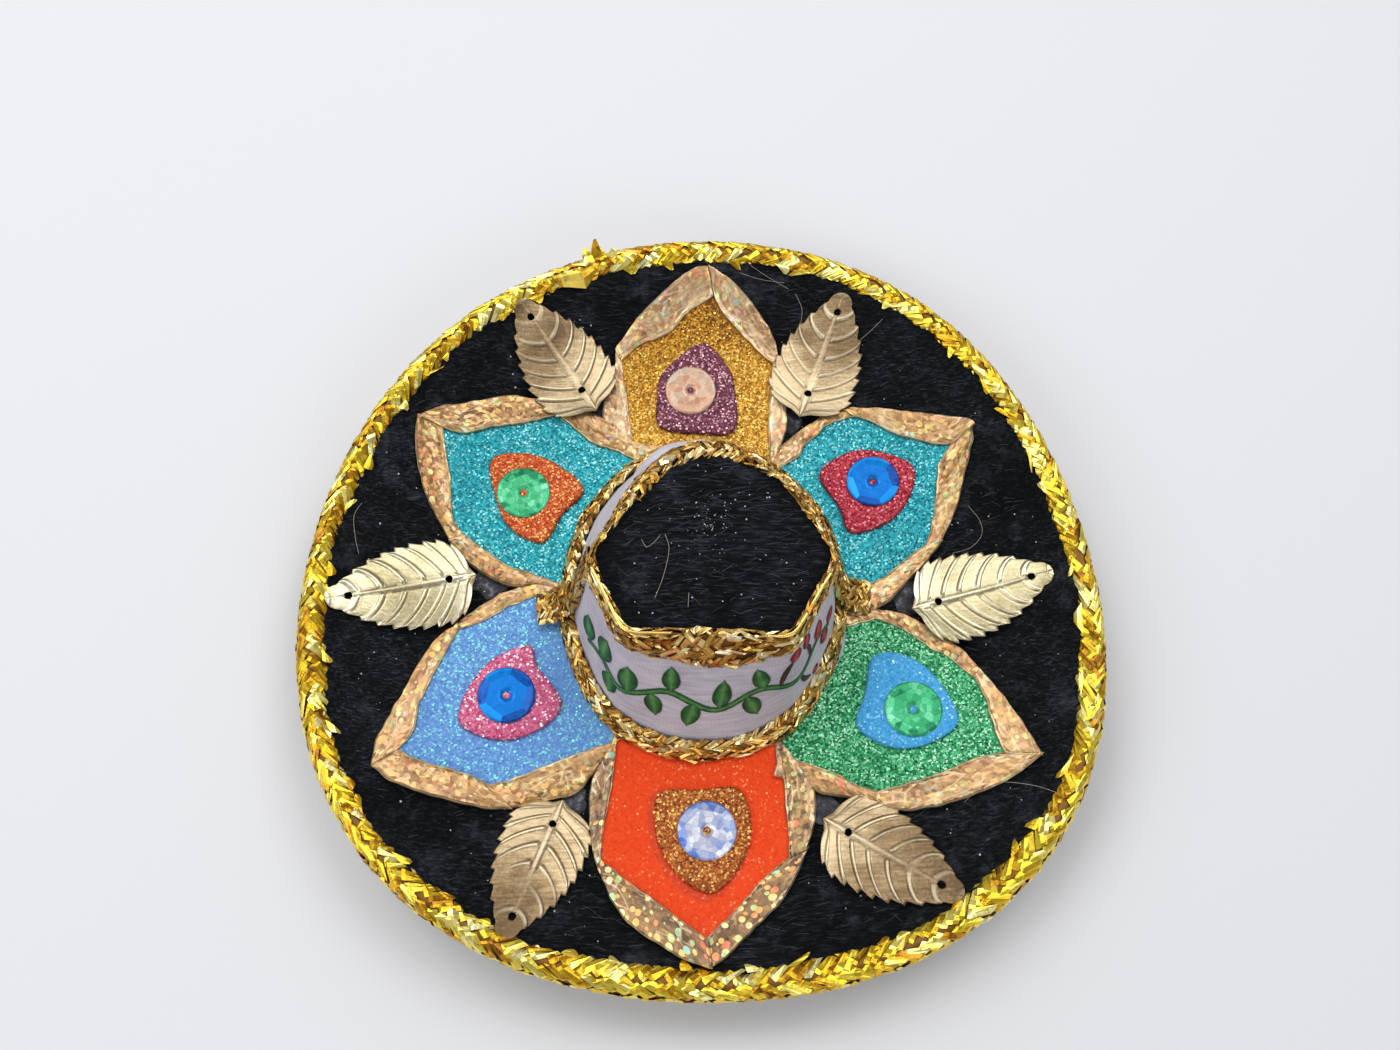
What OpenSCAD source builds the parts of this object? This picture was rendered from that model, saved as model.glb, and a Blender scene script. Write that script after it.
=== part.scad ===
// Miniature sombrero: an ornament of velvet-covered card with gold braid, six glitter petals
// and six stamped leaves. Millimetres, +Z up, seen from the front along +Y.
// The origin is the middle of the head opening, on the plane that the brim rests on.

/* [Brim] */
// Mean outer radius of the rim, over its braid
rim_r = 72; // [60:0.5:90]
// Depth of the three-cornered wave in the hand-cut rim
rim_three_lobe = 1.2; // [0:0.1:2.5]
// Depth of the four-cornered wave in the hand-cut rim
rim_four_lobe = 0.8; // [0:0.1:2]
// Height by which the brim's edge stands above its flat middle
brim_rise = 9.5; // [4:0.5:16]
// Radius of the flat middle of the brim
flat_r = 31; // [30:0.5:40]
// Radius of the head opening
head_r = 22.5; // [16:0.5:23]
// Thickness of the cloth under the brim
lining_t = 0.5; // [0.3:0.1:1]
// Thickness of the card in the brim
board_t = 1.5; // [1:0.1:3]
// Thickness of the velvet on the brim
velvet_t = 0.8; // [0.4:0.1:1.5]

/* [Rim braid] */
// Width of the rim braid, from its inner lip to its outer side
rim_braid_w = 5.8; // [5:0.1:8]
// Height of the rim braid, square to the brim
rim_braid_h = 5.4; // [4.8:0.1:8]
// How far the brim's edge reaches into the rim braid
rim_grip = 2.4; // [1.8:0.1:3]

/* [Crown] */
// Half width of the crown wall at its foot
crown_base_a = 24.1; // [24:0.1:26]
// Half depth of the crown wall at its foot, front to back
crown_base_b = 29; // [25:0.1:29.5]
// Size of the crown's many-sided top, against the sizes of its sides
crown_top_size = 1; // [0.8:0.02:1.2]
// Sharpness of the corners of the crown's top
crown_top_corner = 22; // [8:1:40]
// Height of the crown wall
crown_h = 25.5; // [18:0.5:40]
// Thickness of the crown wall
crown_wall_t = 1.2; // [0.8:0.1:1.4]
// Thickness of the card disc on the crown
crown_top_t = 1.2; // [0.8:0.1:2.5]
// Thickness of the velvet on the crown
crown_velvet_t = 0.8; // [0.4:0.1:1.5]
// How far the crown sits in front of the brim's middle
crown_forward = 0.7; // [0:0.1:1]
// How far the crown's top leans back from its foot
crown_lean_back = 1.3; // [-1:0.1:2]
// How far the crown's top leans to the right of its foot
crown_lean_right = 0.8; // [-1:0.1:1]
// Thickness of the cloth band round the crown
band_t = 0.5; // [0.3:0.1:1]

/* [Crown braid] */
// Width of the foot braid, out from the crown
foot_braid_w = 2.2; // [1.5:0.1:3]
// Height of the foot braid
foot_braid_h = 2.7; // [2:0.1:5]
// Depth of the hollows between the foot braid's strands
braid_hollow = 0.4; // [0.2:0.1:0.8]
// Thickness of the braid round the crown's top
top_braid_t = 1.1; // [0.8:0.1:3]
// Height of the braid round the crown's top
top_braid_h = 6.4; // [4:0.1:8]
// How far the top braid stands above the velvet
top_braid_proud = 0.7; // [0:0.1:1.5]
// Width of the strips over the side seams
strap_w = 6; // [4:0.2:9]
// Thickness of the strips over the side seams
strap_t = 1.3; // [0.8:0.1:2]
// Length of a strip's cut tail past the foot braid
strap_tail = 4; // [2:0.2:7]
// Angle of the left strip, round the crown
strap_left_angle = 186; // [176:1:192]
// Angle of the right strip, round the crown
strap_right_angle = -4; // [-12:1:8]

/* [Petals] */
// Gap between a petal's tip and the rim's outside
petal_tip_gap = 8; // [7:0.5:14]
// Share of the way from the flat middle to its tip at which a petal is widest
shoulder_share = 0.53; // [0.4:0.01:0.65]
// Angle of a petal's shoulders to each side of its axis, seen from the hat's axis
shoulder_angle = 20; // [16:0.5:22]
// Share of the way from the flat middle to the tips at which neighbouring petals part
seam_share = 0.21; // [0.12:0.01:0.32]
// Thickness of the glitter foam of a petal
petal_t = 1.2; // [0.8:0.1:2]
// Thickness of the folded ribbon round a petal
ribbon_t = 1.5; // [1:0.1:2.5]
// Width of the ribbon along a petal's axis, at the tip
ribbon_tip = 4.8; // [3:0.1:7]
// Width of the ribbon along a petal's axis, at the shoulders
ribbon_shoulder = 2.6; // [1.5:0.1:4]
// Width of the ribbon across a petal, at the shoulders
ribbon_side = 1.8; // [1:0.1:3]
// Width of the ribbon where it goes under the crown
ribbon_foot = 1.2; // [0.8:0.1:2]

/* [Patches and sequins] */
// Length of the shield-shaped patch on a petal
patch_len = 17.8; // [15:0.2:20]
// Greatest width of the patch
patch_w = 15.8; // [13:0.2:18]
// Width of the patch at its inner edge
patch_foot_w = 13; // [11:0.2:14]
// Thickness of the patch
patch_t = 1; // [0.6:0.1:2]
// Share of the way from the flat middle to a petal's tip at which its sequin sits
sequin_share = 0.3; // [0.25:0.01:0.36]
// Diameter of a sequin
sequin_d = 10; // [8:0.2:11]
// Diameter of the thread hole in a sequin
sequin_hole_d = 1.6; // [1:0.1:2.5]
// Thickness of a sequin
sequin_t = 0.4; // [0.3:0.05:0.8]

/* [Leaves] */
// Length of a stamped leaf
leaf_len = 25; // [20:0.5:28]
// Width of a stamped leaf
leaf_w = 16.5; // [12:0.5:18]
// Share of the leaf's length, from its stalk, at which it is widest
leaf_belly = 0.3; // [0.25:0.01:0.5]
// Gap between a leaf's tip and the rim's outside
leaf_tip_gap = 6; // [4:0.5:9]
// Number of teeth on each side of a leaf, each with its side vein
leaf_teeth = 8; // [4:1:12]
// Depth of a leaf's teeth
leaf_tooth = 0.6; // [0.2:0.1:1]
// Diameter of the two thread holes in a leaf
leaf_hole_d = 1.5; // [1:0.1:2]
// Distance of each thread hole from the end of the leaf
leaf_hole_in = 3.8; // [3:0.1:5]
// Thickness of a leaf
leaf_t = 0.4; // [0.3:0.05:1]
// How far a leaf's middle bows up above its edges
leaf_bow = 0.7; // [0.2:0.1:1.2]
// Height of a leaf's raised midrib and side veins
leaf_vein_h = 0.35; // [0.1:0.05:0.6]

/* [Fits] */
// Gap between the braid's slot and the brim
braid_gap = 0.1; // [0.05:0.05:0.3]
// Gap between pieces that lie side by side
side_gap = 0.1; // [0.05:0.05:0.3]
// Gap between a leaf's edge and the velvet under its tip
leaf_gap = 0.08; // [0.06:0.01:0.2]

/* [Hidden] */
// Steps round the rim, round the crown, along the dish, round a curve and along a braid's side
rim_steps = 72;
crown_steps = 72;
dish_steps = 8;
curve_steps = 6;
round_steps = 5;
round_fn = 96;
strap_steps = 4;

// Where the waves of the rim have their crests
three_lobe_at = -36;
four_lobe_at = -45;

// Straight sides of the crown's top: the angle each one faces and its distance from the middle
crown_sides = [
    [-93, 17.1], [-31, 19.2], [28, 15.1], [60, 14.2], [104, 14.3], [141, 13.5], [154, 16.1], [204, 19.4]
];

// Heights of the layers above the dish that the lining's underside forms
board_z = lining_t;
velvet_z = board_z + board_t;
brim_top = velvet_z + velvet_t;
petal_top = brim_top + petal_t;
ribbon_top = brim_top + ribbon_t;
patch_top = petal_top + patch_t;
sequin_top = patch_top + sequin_t;

// The rim braid is an oval, tilted with the brim's edge, with a slot for the brim
edge_r = rim_r - rim_braid_w + rim_grip;
edge_tilt = atan(2 * brim_rise / (edge_r - flat_r));
braid_half = sqrt(pow(rim_braid_w / 2 * cos(edge_tilt), 2) + pow(rim_braid_h / 2 * sin(edge_tilt), 2));
slot_out = (rim_grip - rim_braid_w / 2) * cos(edge_tilt);
edge_inset = braid_half - slot_out;
lip_angle = 138;
lip_inset = braid_half
    - rim_braid_w / 2 * cos(lip_angle) * cos(edge_tilt)
    + rim_braid_h / 2 * sin(lip_angle) * sin(edge_tilt);
dish_end = rim_r + rim_three_lobe + rim_four_lobe;
tall = 4 * brim_rise + patch_top;

// Crown levels
crown_z = brim_top;
crown_top_z = crown_z + crown_h;
crown_velvet_z = crown_top_z + crown_top_t;
crown_end_z = crown_velvet_z + crown_velvet_t;
top_braid_end = crown_end_z + top_braid_proud;
top_braid_start = top_braid_end - top_braid_h;
strap_half_angle = strap_w / 2 / crown_base_a * 180 / PI;

// The flower fills the brim from its flat middle outwards
petal_reach = rim_r - petal_tip_gap;
shoulder_out = mix(flat_r, petal_reach, shoulder_share);
shoulder_across = shoulder_out * tan(shoulder_angle);
seam_reach = mix(flat_r, petal_reach, seam_share);
sequin_out = mix(flat_r, petal_reach, sequin_share);
leaf_out = rim_r - leaf_tip_gap - leaf_len / 2;

// The sequin sits a little inside the middle of the patch
patch_foot_in = patch_len * 0.48;

// The petals and leaves go round by the clock. Each was cut and laid by hand, so each has its own
// differences from the common shape, in degrees and millimetres.
petal_hours = [12, 2, 4, 6, 8, 10];
leaf_hours = [1, 3, 5, 7, 9, 11];
// Turn, reach, tip to the left, shoulders out, shoulders across, left shoulder out, sequin out and left
petal_cuts = [
    [0, 1, -2, 2.5, -0.5, 0, 0, 1.6],
    [-1, -3, 1, -3.5, 0, 0, -2, 0.9],
    [-4, 1, 3.5, 1, -1.8, -1.5, 2.4, 0.5],
    [-2, 0.5, 0.5, 2, 1, -2, 2.6, 0],
    [-1, 0, 0, 0, 0.3, 3, -0.6, 0],
    [-1.5, -1, -1, -2, 0.8, -2, -2, 0.6]
];
// Seams between each petal and the next one round the clock: turn and reach
seam_cuts = [[0.5, 0], [-7, -2], [-7, 2], [-1, 2], [-1.5, -1.5], [-1.5, 1]];
// Turn, distance out and lean of each leaf, its size against the common one, and how far its stalk end
// is propped up, against the ribbon's thickness
leaf_cuts = [
    [2, 0.1, 6, 1.04, 1.5], [-3, -2.3, 15, 1, 1.4], [1, 3.8, 26, 0.95, 1],
    [-1, 3.7, 10, 0.9, 0.4], [0, 1.3, 13, 1, 1.2], [0, 1.8, 4, 1.03, 1.5]
];

petal_colors = ["goldenrod", "darkturquoise", "seagreen", "orangered", "cornflowerblue", "lightseagreen"];
patch_colors = ["rosybrown", "crimson", "deepskyblue", "peru", "palevioletred", "chocolate"];
sequin_colors = ["burlywood", "dodgerblue", "limegreen", "lavender", "royalblue", "mediumseagreen"];

// Height of the brim's underside at a distance from the axis
function dish(r) = brim_rise * pow(max(r - flat_r, 0) / (edge_r - flat_r), 2);

// Radius of the hand-cut rim at an angle, a given distance in from its outside
function rim_at(angle, inset) =
    rim_r - inset
    + rim_three_lobe * cos(3 * (angle - three_lobe_at))
    + rim_four_lobe * cos(4 * (angle - four_lobe_at));

function polar(r, angle) = r * [cos(angle), sin(angle)];

// A point given along and to the left of an axis that leaves the middle of the hat
function along_axis(axis, out, left) = polar(out, axis) + polar(left, axis + 90);

function mix(p, q, share) = p + (q - p) * share;

// Points of a bend from p to q that is drawn towards a corner
function bend(p, corner, q) =
    [for (i = [0 : curve_steps]) let(t = i / curve_steps) mix(mix(p, corner, t), mix(corner, q, t), t)];

// Radius of the crown wall's outside at an angle: oval at its foot, many-sided at its top
function crown_foot_r(angle) =
    crown_base_a * crown_base_b / norm([crown_base_b * cos(angle), crown_base_a * sin(angle)]);
function crown_top_r(angle) =
    let(pulls = [for (side = crown_sides) pow(max(cos(angle - side[0]), 0) / side[1], crown_top_corner)])
    crown_top_size * pow(pulls * [for (pull = pulls) 1], -1 / crown_top_corner);

// Middle of the crown at a height
function crown_middle(z) =
    [0, -crown_forward, z] + [crown_lean_right, crown_lean_back, 0] * (z - crown_z) / crown_h;

// A point out from the crown wall at a height and an angle
function crown_point(angle, out, z) =
    let(r = mix(crown_foot_r(angle), crown_top_r(angle), (z - crown_z) / crown_h) + out)
    crown_middle(z) + [r * cos(angle), r * sin(angle), 0];

// Quarter-round side of the foot braid, from its outside up to the crown, grown by a margin
function foot_round(margin) =
    [for (i = [0 : round_steps])
        let(turn = 90 * i / round_steps)
        [band_t + (foot_braid_w + margin) * cos(turn), ribbon_top + (foot_braid_h + margin) * sin(turn)]];

function reversed(list) = [for (i = [len(list) - 1 : -1 : 0]) list[i]];

// Petal shapes
function petal_axis(i) = 90 - 60 * i + petal_cuts[i][0];
function seam_axis(i) = 60 - 60 * i + seam_cuts[i][0];
function seam_end(i) = seam_reach + seam_cuts[i][1];
function petal_tip(i, inset) =
    along_axis(petal_axis(i), petal_reach + petal_cuts[i][1] - inset, petal_cuts[i][2]);
function petal_shoulder(i, side, inset_out, inset_across) =
    along_axis(
        petal_axis(i),
        shoulder_out + petal_cuts[i][3] + side * petal_cuts[i][5] - inset_out,
        side * (shoulder_across + petal_cuts[i][4] - inset_across)
    );

// The left seam of a petal is the right seam of the one before it
function petal_seam(i, side) = side > 0 ? (i + 5) % 6 : i;

// One side of a petal from its seam, round its shoulder, to its tip
function petal_side(foot, shoulder, tip) =
    concat([foot], bend(mix(foot, shoulder, 0.5), shoulder, mix(shoulder, tip, 0.4)));

function ribbon_corner(i, side) =
    along_axis(seam_axis(petal_seam(i, side)), seam_end(petal_seam(i, side)), -side * side_gap / 2);
function field_corner(i, side) =
    along_axis(seam_axis(petal_seam(i, side)), flat_r, -side * ribbon_foot);

// Half the width of a leaf at a share of its length from the stalk: blunt there, drawn out to the tip
function leaf_half_w(t) =
    leaf_w / 2 * (t > leaf_belly
        ? sin(90 * pow((1 - t) / (1 - leaf_belly), 0.8))
        : sqrt(1 - pow((leaf_belly - t) / leaf_belly, 3)));

// A leaf's lines run from edge to edge in a V that opens to the tip, every other one along two veins.
// Each gives five places: share of the length, share of the half width, and height over the edge.
leaf_steps = 2 * leaf_teeth;
leaf_ends = [0.04, 0.97];
leaf_lines = [for (k = [0 : leaf_steps])
    let(t = mix(leaf_ends[0], leaf_ends[1], k / leaf_steps), raised = k % 2 == 1)
    [for (across = [-1, -0.5, 0, 0.5, 1])
        let(
            tooth = raised || k == 0 || k == leaf_steps ? 0 : leaf_tooth / leaf_w * 2,
            vein = across == 0 || (raised && abs(across) < 1) ? leaf_vein_h : 0
        )
        [
            mix(t * t, t, abs(across)),
            across * (1 - abs(across) * tooth),
            vein + leaf_bow * (1 - pow(across, 2)) * sin(180 * mix(0.1, 0.95, t))
        ]]];

// A band of the brim between two heights above the lining's underside
module dish_layer(low, high) {
    radii = concat(
        [head_r],
        [for (i = [0 : dish_steps]) flat_r + (dish_end - flat_r) * i / dish_steps]
    );
    rotate_extrude($fn = round_fn)
        polygon(concat(
            [for (r = radii) [r, dish(r) + low]],
            [for (r = reversed(radii)) [r, dish(r) + high]]
        ));
}

// The hand-cut rim as a flat shape, a given distance in from its outside
module rim_shape(inset) {
    polygon([for (i = [0 : rim_steps - 1])
        let(angle = 360 * i / rim_steps)
        polar(rim_at(angle, inset), angle)]);
}

// The part of a layer inside a flat shape
module cut_layer(low, high) {
    intersection() {
        dish_layer(low, high);
        linear_extrude(tall) children();
    }
}

// A shell that joins equal rings of points; a closed one joins its last ring to its first.
// At an open one's ends, the first half of a ring's points face the second half, pair by pair.
module joined_rings(rings, closed) {
    sides = len(rings[0]);
    count = len(rings);
    last = closed ? count - 1 : count - 2;
    walls = [for (s = [0 : last], j = [0 : sides - 1])
        let(
            next_ring = (s + 1) % count * sides,
            ring = s * sides,
            k = (j + 1) % sides
        )
        each [
            [ring + j, ring + k, next_ring + k],
            [ring + j, next_ring + k, next_ring + j]
        ]];
    ends = closed ? [] : [for (j = [0 : sides / 2 - 2])
        let(quad = [j, j + 1, sides - 2 - j, sides - 1 - j])
        each [reversed(quad), [for (k = quad) k + (count - 1) * sides]]];
    polyhedron(points = [for (ring = rings) each ring], faces = concat(walls, ends), convexity = 6);
}

// A section, given out from the crown wall and by height, carried round the crown
module round_crown(section, from, to, steps) {
    closed = to - from == 360;
    joined_rings([for (i = [0 : closed ? steps - 1 : steps])
        let(angle = from + (to - from) * i / steps)
        [for (p = section) crown_point(angle, p[0], p[1])]], closed);
}

// The crown's outline at a height, grown by a margin
module crown_outline(z, margin) {
    polygon([for (i = [0 : crown_steps - 1])
        let(p = crown_point(360 * i / crown_steps, margin, z))
        [p[0], p[1]]]);
}

module brim_lining() {
    color("#151515")
        cut_layer(0, board_z)
            rim_shape(edge_inset);
}

module brim_board() {
    color("#8a7a5c")
        cut_layer(board_z, velvet_z)
            rim_shape(edge_inset);
}

module brim_velvet() {
    color("#0c0c0e")
        cut_layer(velvet_z, brim_top)
            rim_shape(edge_inset);
}

// The braid folds over the brim's edge, so its section is an oval with a slot from its inner side
module rim_braid() {
    function middle(angle) =
        let(r = rim_at(angle, braid_half))
        [r, dish(r) + brim_top / 2];
    function oval(angle, turn) =
        let(u = rim_braid_w / 2 * cos(turn), v = rim_braid_h / 2 * sin(turn))
        middle(angle) + [u * cos(edge_tilt) - v * sin(edge_tilt), u * sin(edge_tilt) + v * cos(edge_tilt)];
    function slot(r, up) = [r, dish(r) + (up > 0 ? brim_top + braid_gap : -braid_gap)];
    function section(angle) =
        let(edge = rim_at(angle, edge_inset) + braid_gap)
        concat(
            [for (i = [-4 : 4]) oval(angle, lip_angle * i / 4)],
            [slot(oval(angle, lip_angle)[0], 1), slot(edge, 1)],
            [slot(edge, -1), slot(oval(angle, -lip_angle)[0], -1)]
        );
    color("#d9a520")
        joined_rings([for (i = [0 : rim_steps - 1])
            let(angle = 360 * i / rim_steps)
            [for (p = section(angle)) [p[0] * cos(angle), p[0] * sin(angle), p[1]]]], true);
}

module crown_wall() {
    color("#8a7a5c")
        round_crown([
            [0, crown_z],
            [0, crown_top_z],
            [-crown_wall_t, crown_top_z],
            [-crown_wall_t, crown_z]
        ], 0, 360, crown_steps);
}

module crown_top_board() {
    color("#8a7a5c")
        translate([0, 0, crown_top_z])
            linear_extrude(crown_top_t)
                crown_outline(crown_velvet_z, band_t);
}

module crown_top_velvet() {
    color("#0c0c0e")
        translate([0, 0, crown_velvet_z])
            linear_extrude(crown_velvet_t)
                crown_outline(crown_end_z, band_t);
}

// Half of the cloth band, between the two side seams
module crown_band(from, to) {
    color("#c9c3cf")
        round_crown([
            [0, crown_z],
            [band_t, crown_z],
            [band_t, crown_top_z],
            [0, crown_top_z]
        ], from, to, crown_steps / 2);
}

module crown_band_front() {
    crown_band(strap_left_angle, strap_right_angle + 360);
}

module crown_band_back() {
    crown_band(strap_right_angle, strap_left_angle);
}

// The braid's strands stand up between hollows, which lie in a chequered pattern
module crown_base_braid() {
    strands = foot_round(0);
    hollows = foot_round(-braid_hollow);
    color("#b0842c")
        joined_rings([for (i = [0 : crown_steps - 1])
            let(woven = [for (j = [0 : round_steps]) (i + j) % 2 == 0 ? strands[j] : hollows[j]])
            [for (p = concat([[band_t, ribbon_top]], woven))
                crown_point(360 * i / crown_steps, p[0], p[1])]], true);
}

module crown_top_braid() {
    soft = top_braid_t / 3;
    color("#b0842c")
        round_crown([
            [band_t, top_braid_start],
            [band_t + top_braid_t - soft, top_braid_start],
            [band_t + top_braid_t, top_braid_start + soft],
            [band_t + top_braid_t, top_braid_end - soft],
            [band_t + top_braid_t - soft, top_braid_end],
            [band_t, top_braid_end]
        ], 0, 360, crown_steps);
}

// A strip down a side seam, over the foot braid, with its tail on the petals
module crown_strap(angle) {
    tail = band_t + foot_braid_w + strap_tail;
    inside = concat([[tail, ribbon_top]], foot_round(side_gap), [[band_t, top_braid_start]]);
    outside = [for (p = concat(
        [[band_t, top_braid_start]],
        reversed(foot_round(side_gap + strap_t)),
        [[tail, ribbon_top]]
    )) [max(p[0], band_t + strap_t), max(p[1], ribbon_top + strap_t)]];
    color("#b0842c")
        round_crown(
            reversed(concat(inside, outside)),
            angle - strap_half_angle,
            angle + strap_half_angle,
            strap_steps
        );
}

module crown_strap_left() {
    crown_strap(strap_left_angle);
}

module crown_strap_right() {
    crown_strap(strap_right_angle);
}

// The outline of a petal with its ribbon, outside the crown
module petal_shape(i) {
    difference() {
        polygon(concat(
            [[0, 0]],
            petal_side(ribbon_corner(i, -1), petal_shoulder(i, -1, 0, 0), petal_tip(i, 0)),
            [petal_tip(i, 0)],
            reversed(petal_side(ribbon_corner(i, 1), petal_shoulder(i, 1, 0, 0), petal_tip(i, 0)))
        ));
        crown_outline(crown_z, band_t + side_gap);
    }
}

// The foam that shows inside the ribbon
module field_shape(i) {
    difference() {
        polygon(concat(
            [along_axis(petal_axis(i), head_r / 2, 0)],
            petal_side(
                field_corner(i, -1),
                petal_shoulder(i, -1, ribbon_shoulder, ribbon_side),
                petal_tip(i, ribbon_tip)
            ),
            [petal_tip(i, ribbon_tip)],
            reversed(petal_side(
                field_corner(i, 1),
                petal_shoulder(i, 1, ribbon_shoulder, ribbon_side),
                petal_tip(i, ribbon_tip)
            ))
        ));
        crown_outline(crown_z, band_t + side_gap);
    }
}

module petal(i) {
    color(petal_colors[i])
        cut_layer(brim_top, petal_top)
            field_shape(i);
}

module petal_ribbon(i) {
    color("#b8935f")
        cut_layer(brim_top, ribbon_top)
            difference() {
                petal_shape(i);
                field_shape(i);
            }
}

// A shield with a rounded tip that points outwards
module patch(i) {
    middle = sequin_out + petal_cuts[i][6];
    foot = middle - patch_foot_in;
    tip = along_axis(petal_axis(i), foot + patch_len, 0);
    color(patch_colors[i])
        cut_layer(petal_top, patch_top)
            polygon(concat(
                petal_side(
                    along_axis(petal_axis(i), foot, -patch_foot_w / 2),
                    along_axis(petal_axis(i), middle + patch_len / 8, -patch_w / 2),
                    tip
                ),
                [tip],
                reversed(petal_side(
                    along_axis(petal_axis(i), foot, patch_foot_w / 2),
                    along_axis(petal_axis(i), middle + patch_len / 8, patch_w / 2),
                    tip
                ))
            ));
}

module sequin(i) {
    color(sequin_colors[i])
        cut_layer(patch_top, sequin_top)
            translate(along_axis(petal_axis(i), sequin_out + petal_cuts[i][6], petal_cuts[i][7]))
                difference() {
                    circle(d = sequin_d, $fn = round_fn);
                    circle(d = sequin_hole_d, $fn = round_fn);
                }
}

// A leaf lies with its tip on the velvet, inside the rim braid, and its stalk end over the ribbons
module leaf(i) {
    angle = 60 - 60 * i + leaf_cuts[i][0];
    turn = angle + leaf_cuts[i][2];
    size = leaf_cuts[i][3];
    prop = leaf_cuts[i][4] * ribbon_t;
    function spot(along, across) =
        polar(leaf_out + leaf_cuts[i][1], angle)
        + polar((along - 0.5) * leaf_len * size, turn)
        + polar(across * leaf_half_w(along) * size, turn + 90);
    function raised(place, up) =
        let(p = spot(place[0], place[1]))
        [p[0], p[1], dish(norm(p)) + brim_top + leaf_gap + prop * (1 - place[0]) + place[2] + up];
    color("#cdbf92")
        difference() {
            intersection() {
                joined_rings([for (line = leaf_lines) concat(
                    [for (place = line) raised(place, leaf_t)],
                    [for (place = reversed(line)) raised(place, 0)]
                )], false);
                linear_extrude(tall) rim_shape(lip_inset + side_gap);
            }
            for (k = [i, (i + 1) % 6])
                cut_layer(brim_top, ribbon_top) petal_shape(k);
            for (end = [leaf_hole_in, leaf_len - leaf_hole_in])
                translate(spot(end / leaf_len, 0))
                    cylinder(h = tall, d = leaf_hole_d, $fn = round_fn);
        }
}

brim_lining();
brim_board();
brim_velvet();
rim_braid();
crown_wall();
crown_top_board();
crown_top_velvet();
crown_band_front();
crown_band_back();
crown_base_braid();
crown_top_braid();
crown_strap_left();
crown_strap_right();
for (i = [0 : 5]) {
    petal(i);
    petal_ribbon(i);
    patch(i);
    sequin(i);
    leaf(i);
}
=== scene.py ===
# %% [markdown]
# # A miniature sombrero
# The real thing is a souvenir hat about as wide as a hand: a dished card brim under black velvet,
# gold foil braid round the rim and the crown, and a flower of six glitter-foam petals with folded
# ribbon borders, sequins and stamped metal leaves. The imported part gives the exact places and
# sizes, so it is loaded first and stays fixed, and each soft or shiny piece is laid over it.

# %% Load the frame
import math
import random

import bmesh
import bpy
from mathutils import Matrix, Vector, noise


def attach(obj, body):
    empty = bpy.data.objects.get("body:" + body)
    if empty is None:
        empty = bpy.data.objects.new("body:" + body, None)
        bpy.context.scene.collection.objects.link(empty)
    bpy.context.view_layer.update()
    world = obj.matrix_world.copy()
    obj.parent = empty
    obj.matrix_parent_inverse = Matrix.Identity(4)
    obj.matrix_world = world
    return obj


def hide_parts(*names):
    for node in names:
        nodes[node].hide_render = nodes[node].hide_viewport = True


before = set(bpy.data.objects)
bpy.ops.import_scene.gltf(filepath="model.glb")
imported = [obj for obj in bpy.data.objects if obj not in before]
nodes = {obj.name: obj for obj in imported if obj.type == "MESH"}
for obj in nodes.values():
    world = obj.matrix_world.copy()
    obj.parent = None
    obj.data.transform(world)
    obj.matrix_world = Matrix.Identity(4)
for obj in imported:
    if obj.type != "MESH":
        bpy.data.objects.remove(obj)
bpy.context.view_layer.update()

MM = 0.001

# %% [markdown]
# ## The camera
# The photograph looks down on the hat from a little in front of it. A camera could be aimed by eye,
# but its place was worked out from the round sequins and the rim, so it is written down as a place,
# three small turns and a focal length in pixels of the 1400 pixel wide picture.

# %% Make the camera
PHOTO_WIDTH, FOCAL_PIXELS, SENSOR = 1400, 1051, 36
CAMERA_PLACE = Vector((-5.868, -63.153, 188.763)) * MM
CAMERA_TURNS = (("X", 0.390), ("Y", -0.028), ("Z", -0.022))
stand = Matrix.Translation(CAMERA_PLACE)
for axis, turn in CAMERA_TURNS:
    stand = stand @ Matrix.Rotation(turn, 4, axis)
camera = bpy.data.objects.new("camera", bpy.data.cameras.new("camera"))
camera.data.sensor_width = SENSOR
camera.data.lens = FOCAL_PIXELS / PHOTO_WIDTH * SENSOR
camera.data.clip_start = 0.01
camera.matrix_world = stand
bpy.context.scene.collection.objects.link(camera)
bpy.context.scene.camera = camera
bpy.context.scene.view_settings.view_transform = "Standard"
print("camera: lens", round(camera.data.lens, 2), "mm")

# %% [markdown]
# ## Light
# Foil and sequins only look like metal if they have something uneven to reflect. One lamp would leave
# them black, so two soft boxes hang high behind the hat to its left and right, where the side leaves
# mirror them towards the camera and the other leaves look between them. Weaker boxes and a grey world
# fill the shadows.

# %% Hang the soft boxes
# Each box: its place, width and depth in metres, and its power in watts
SOFT_BOXES = {
    "back_box": ((0.0, 0.45, 0.6), 1.1, 0.5, 2.1),
    "back_left_box": ((-0.32, 0.26, 0.66), 0.34, 0.34, 1.35),
    "back_right_box": ((0.32, 0.26, 0.66), 0.34, 0.34, 1.35),
    "left_box": ((-0.6, -0.25, 0.5), 0.4, 0.4, 1.8),
    "front_box": ((0.35, -0.7, 0.45), 0.5, 0.3, 1.5),
}
for name, (place, width, depth, watts) in SOFT_BOXES.items():
    lamp = bpy.data.lights.new(name, "AREA")
    lamp.shape, lamp.size, lamp.size_y, lamp.energy = "RECTANGLE", width, depth, watts
    box = bpy.data.objects.new(name, lamp)
    box.location = place
    box.rotation_euler = (Vector() - Vector(place)).to_track_quat("-Z", "Y").to_euler()
    bpy.context.scene.collection.objects.link(box)

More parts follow.
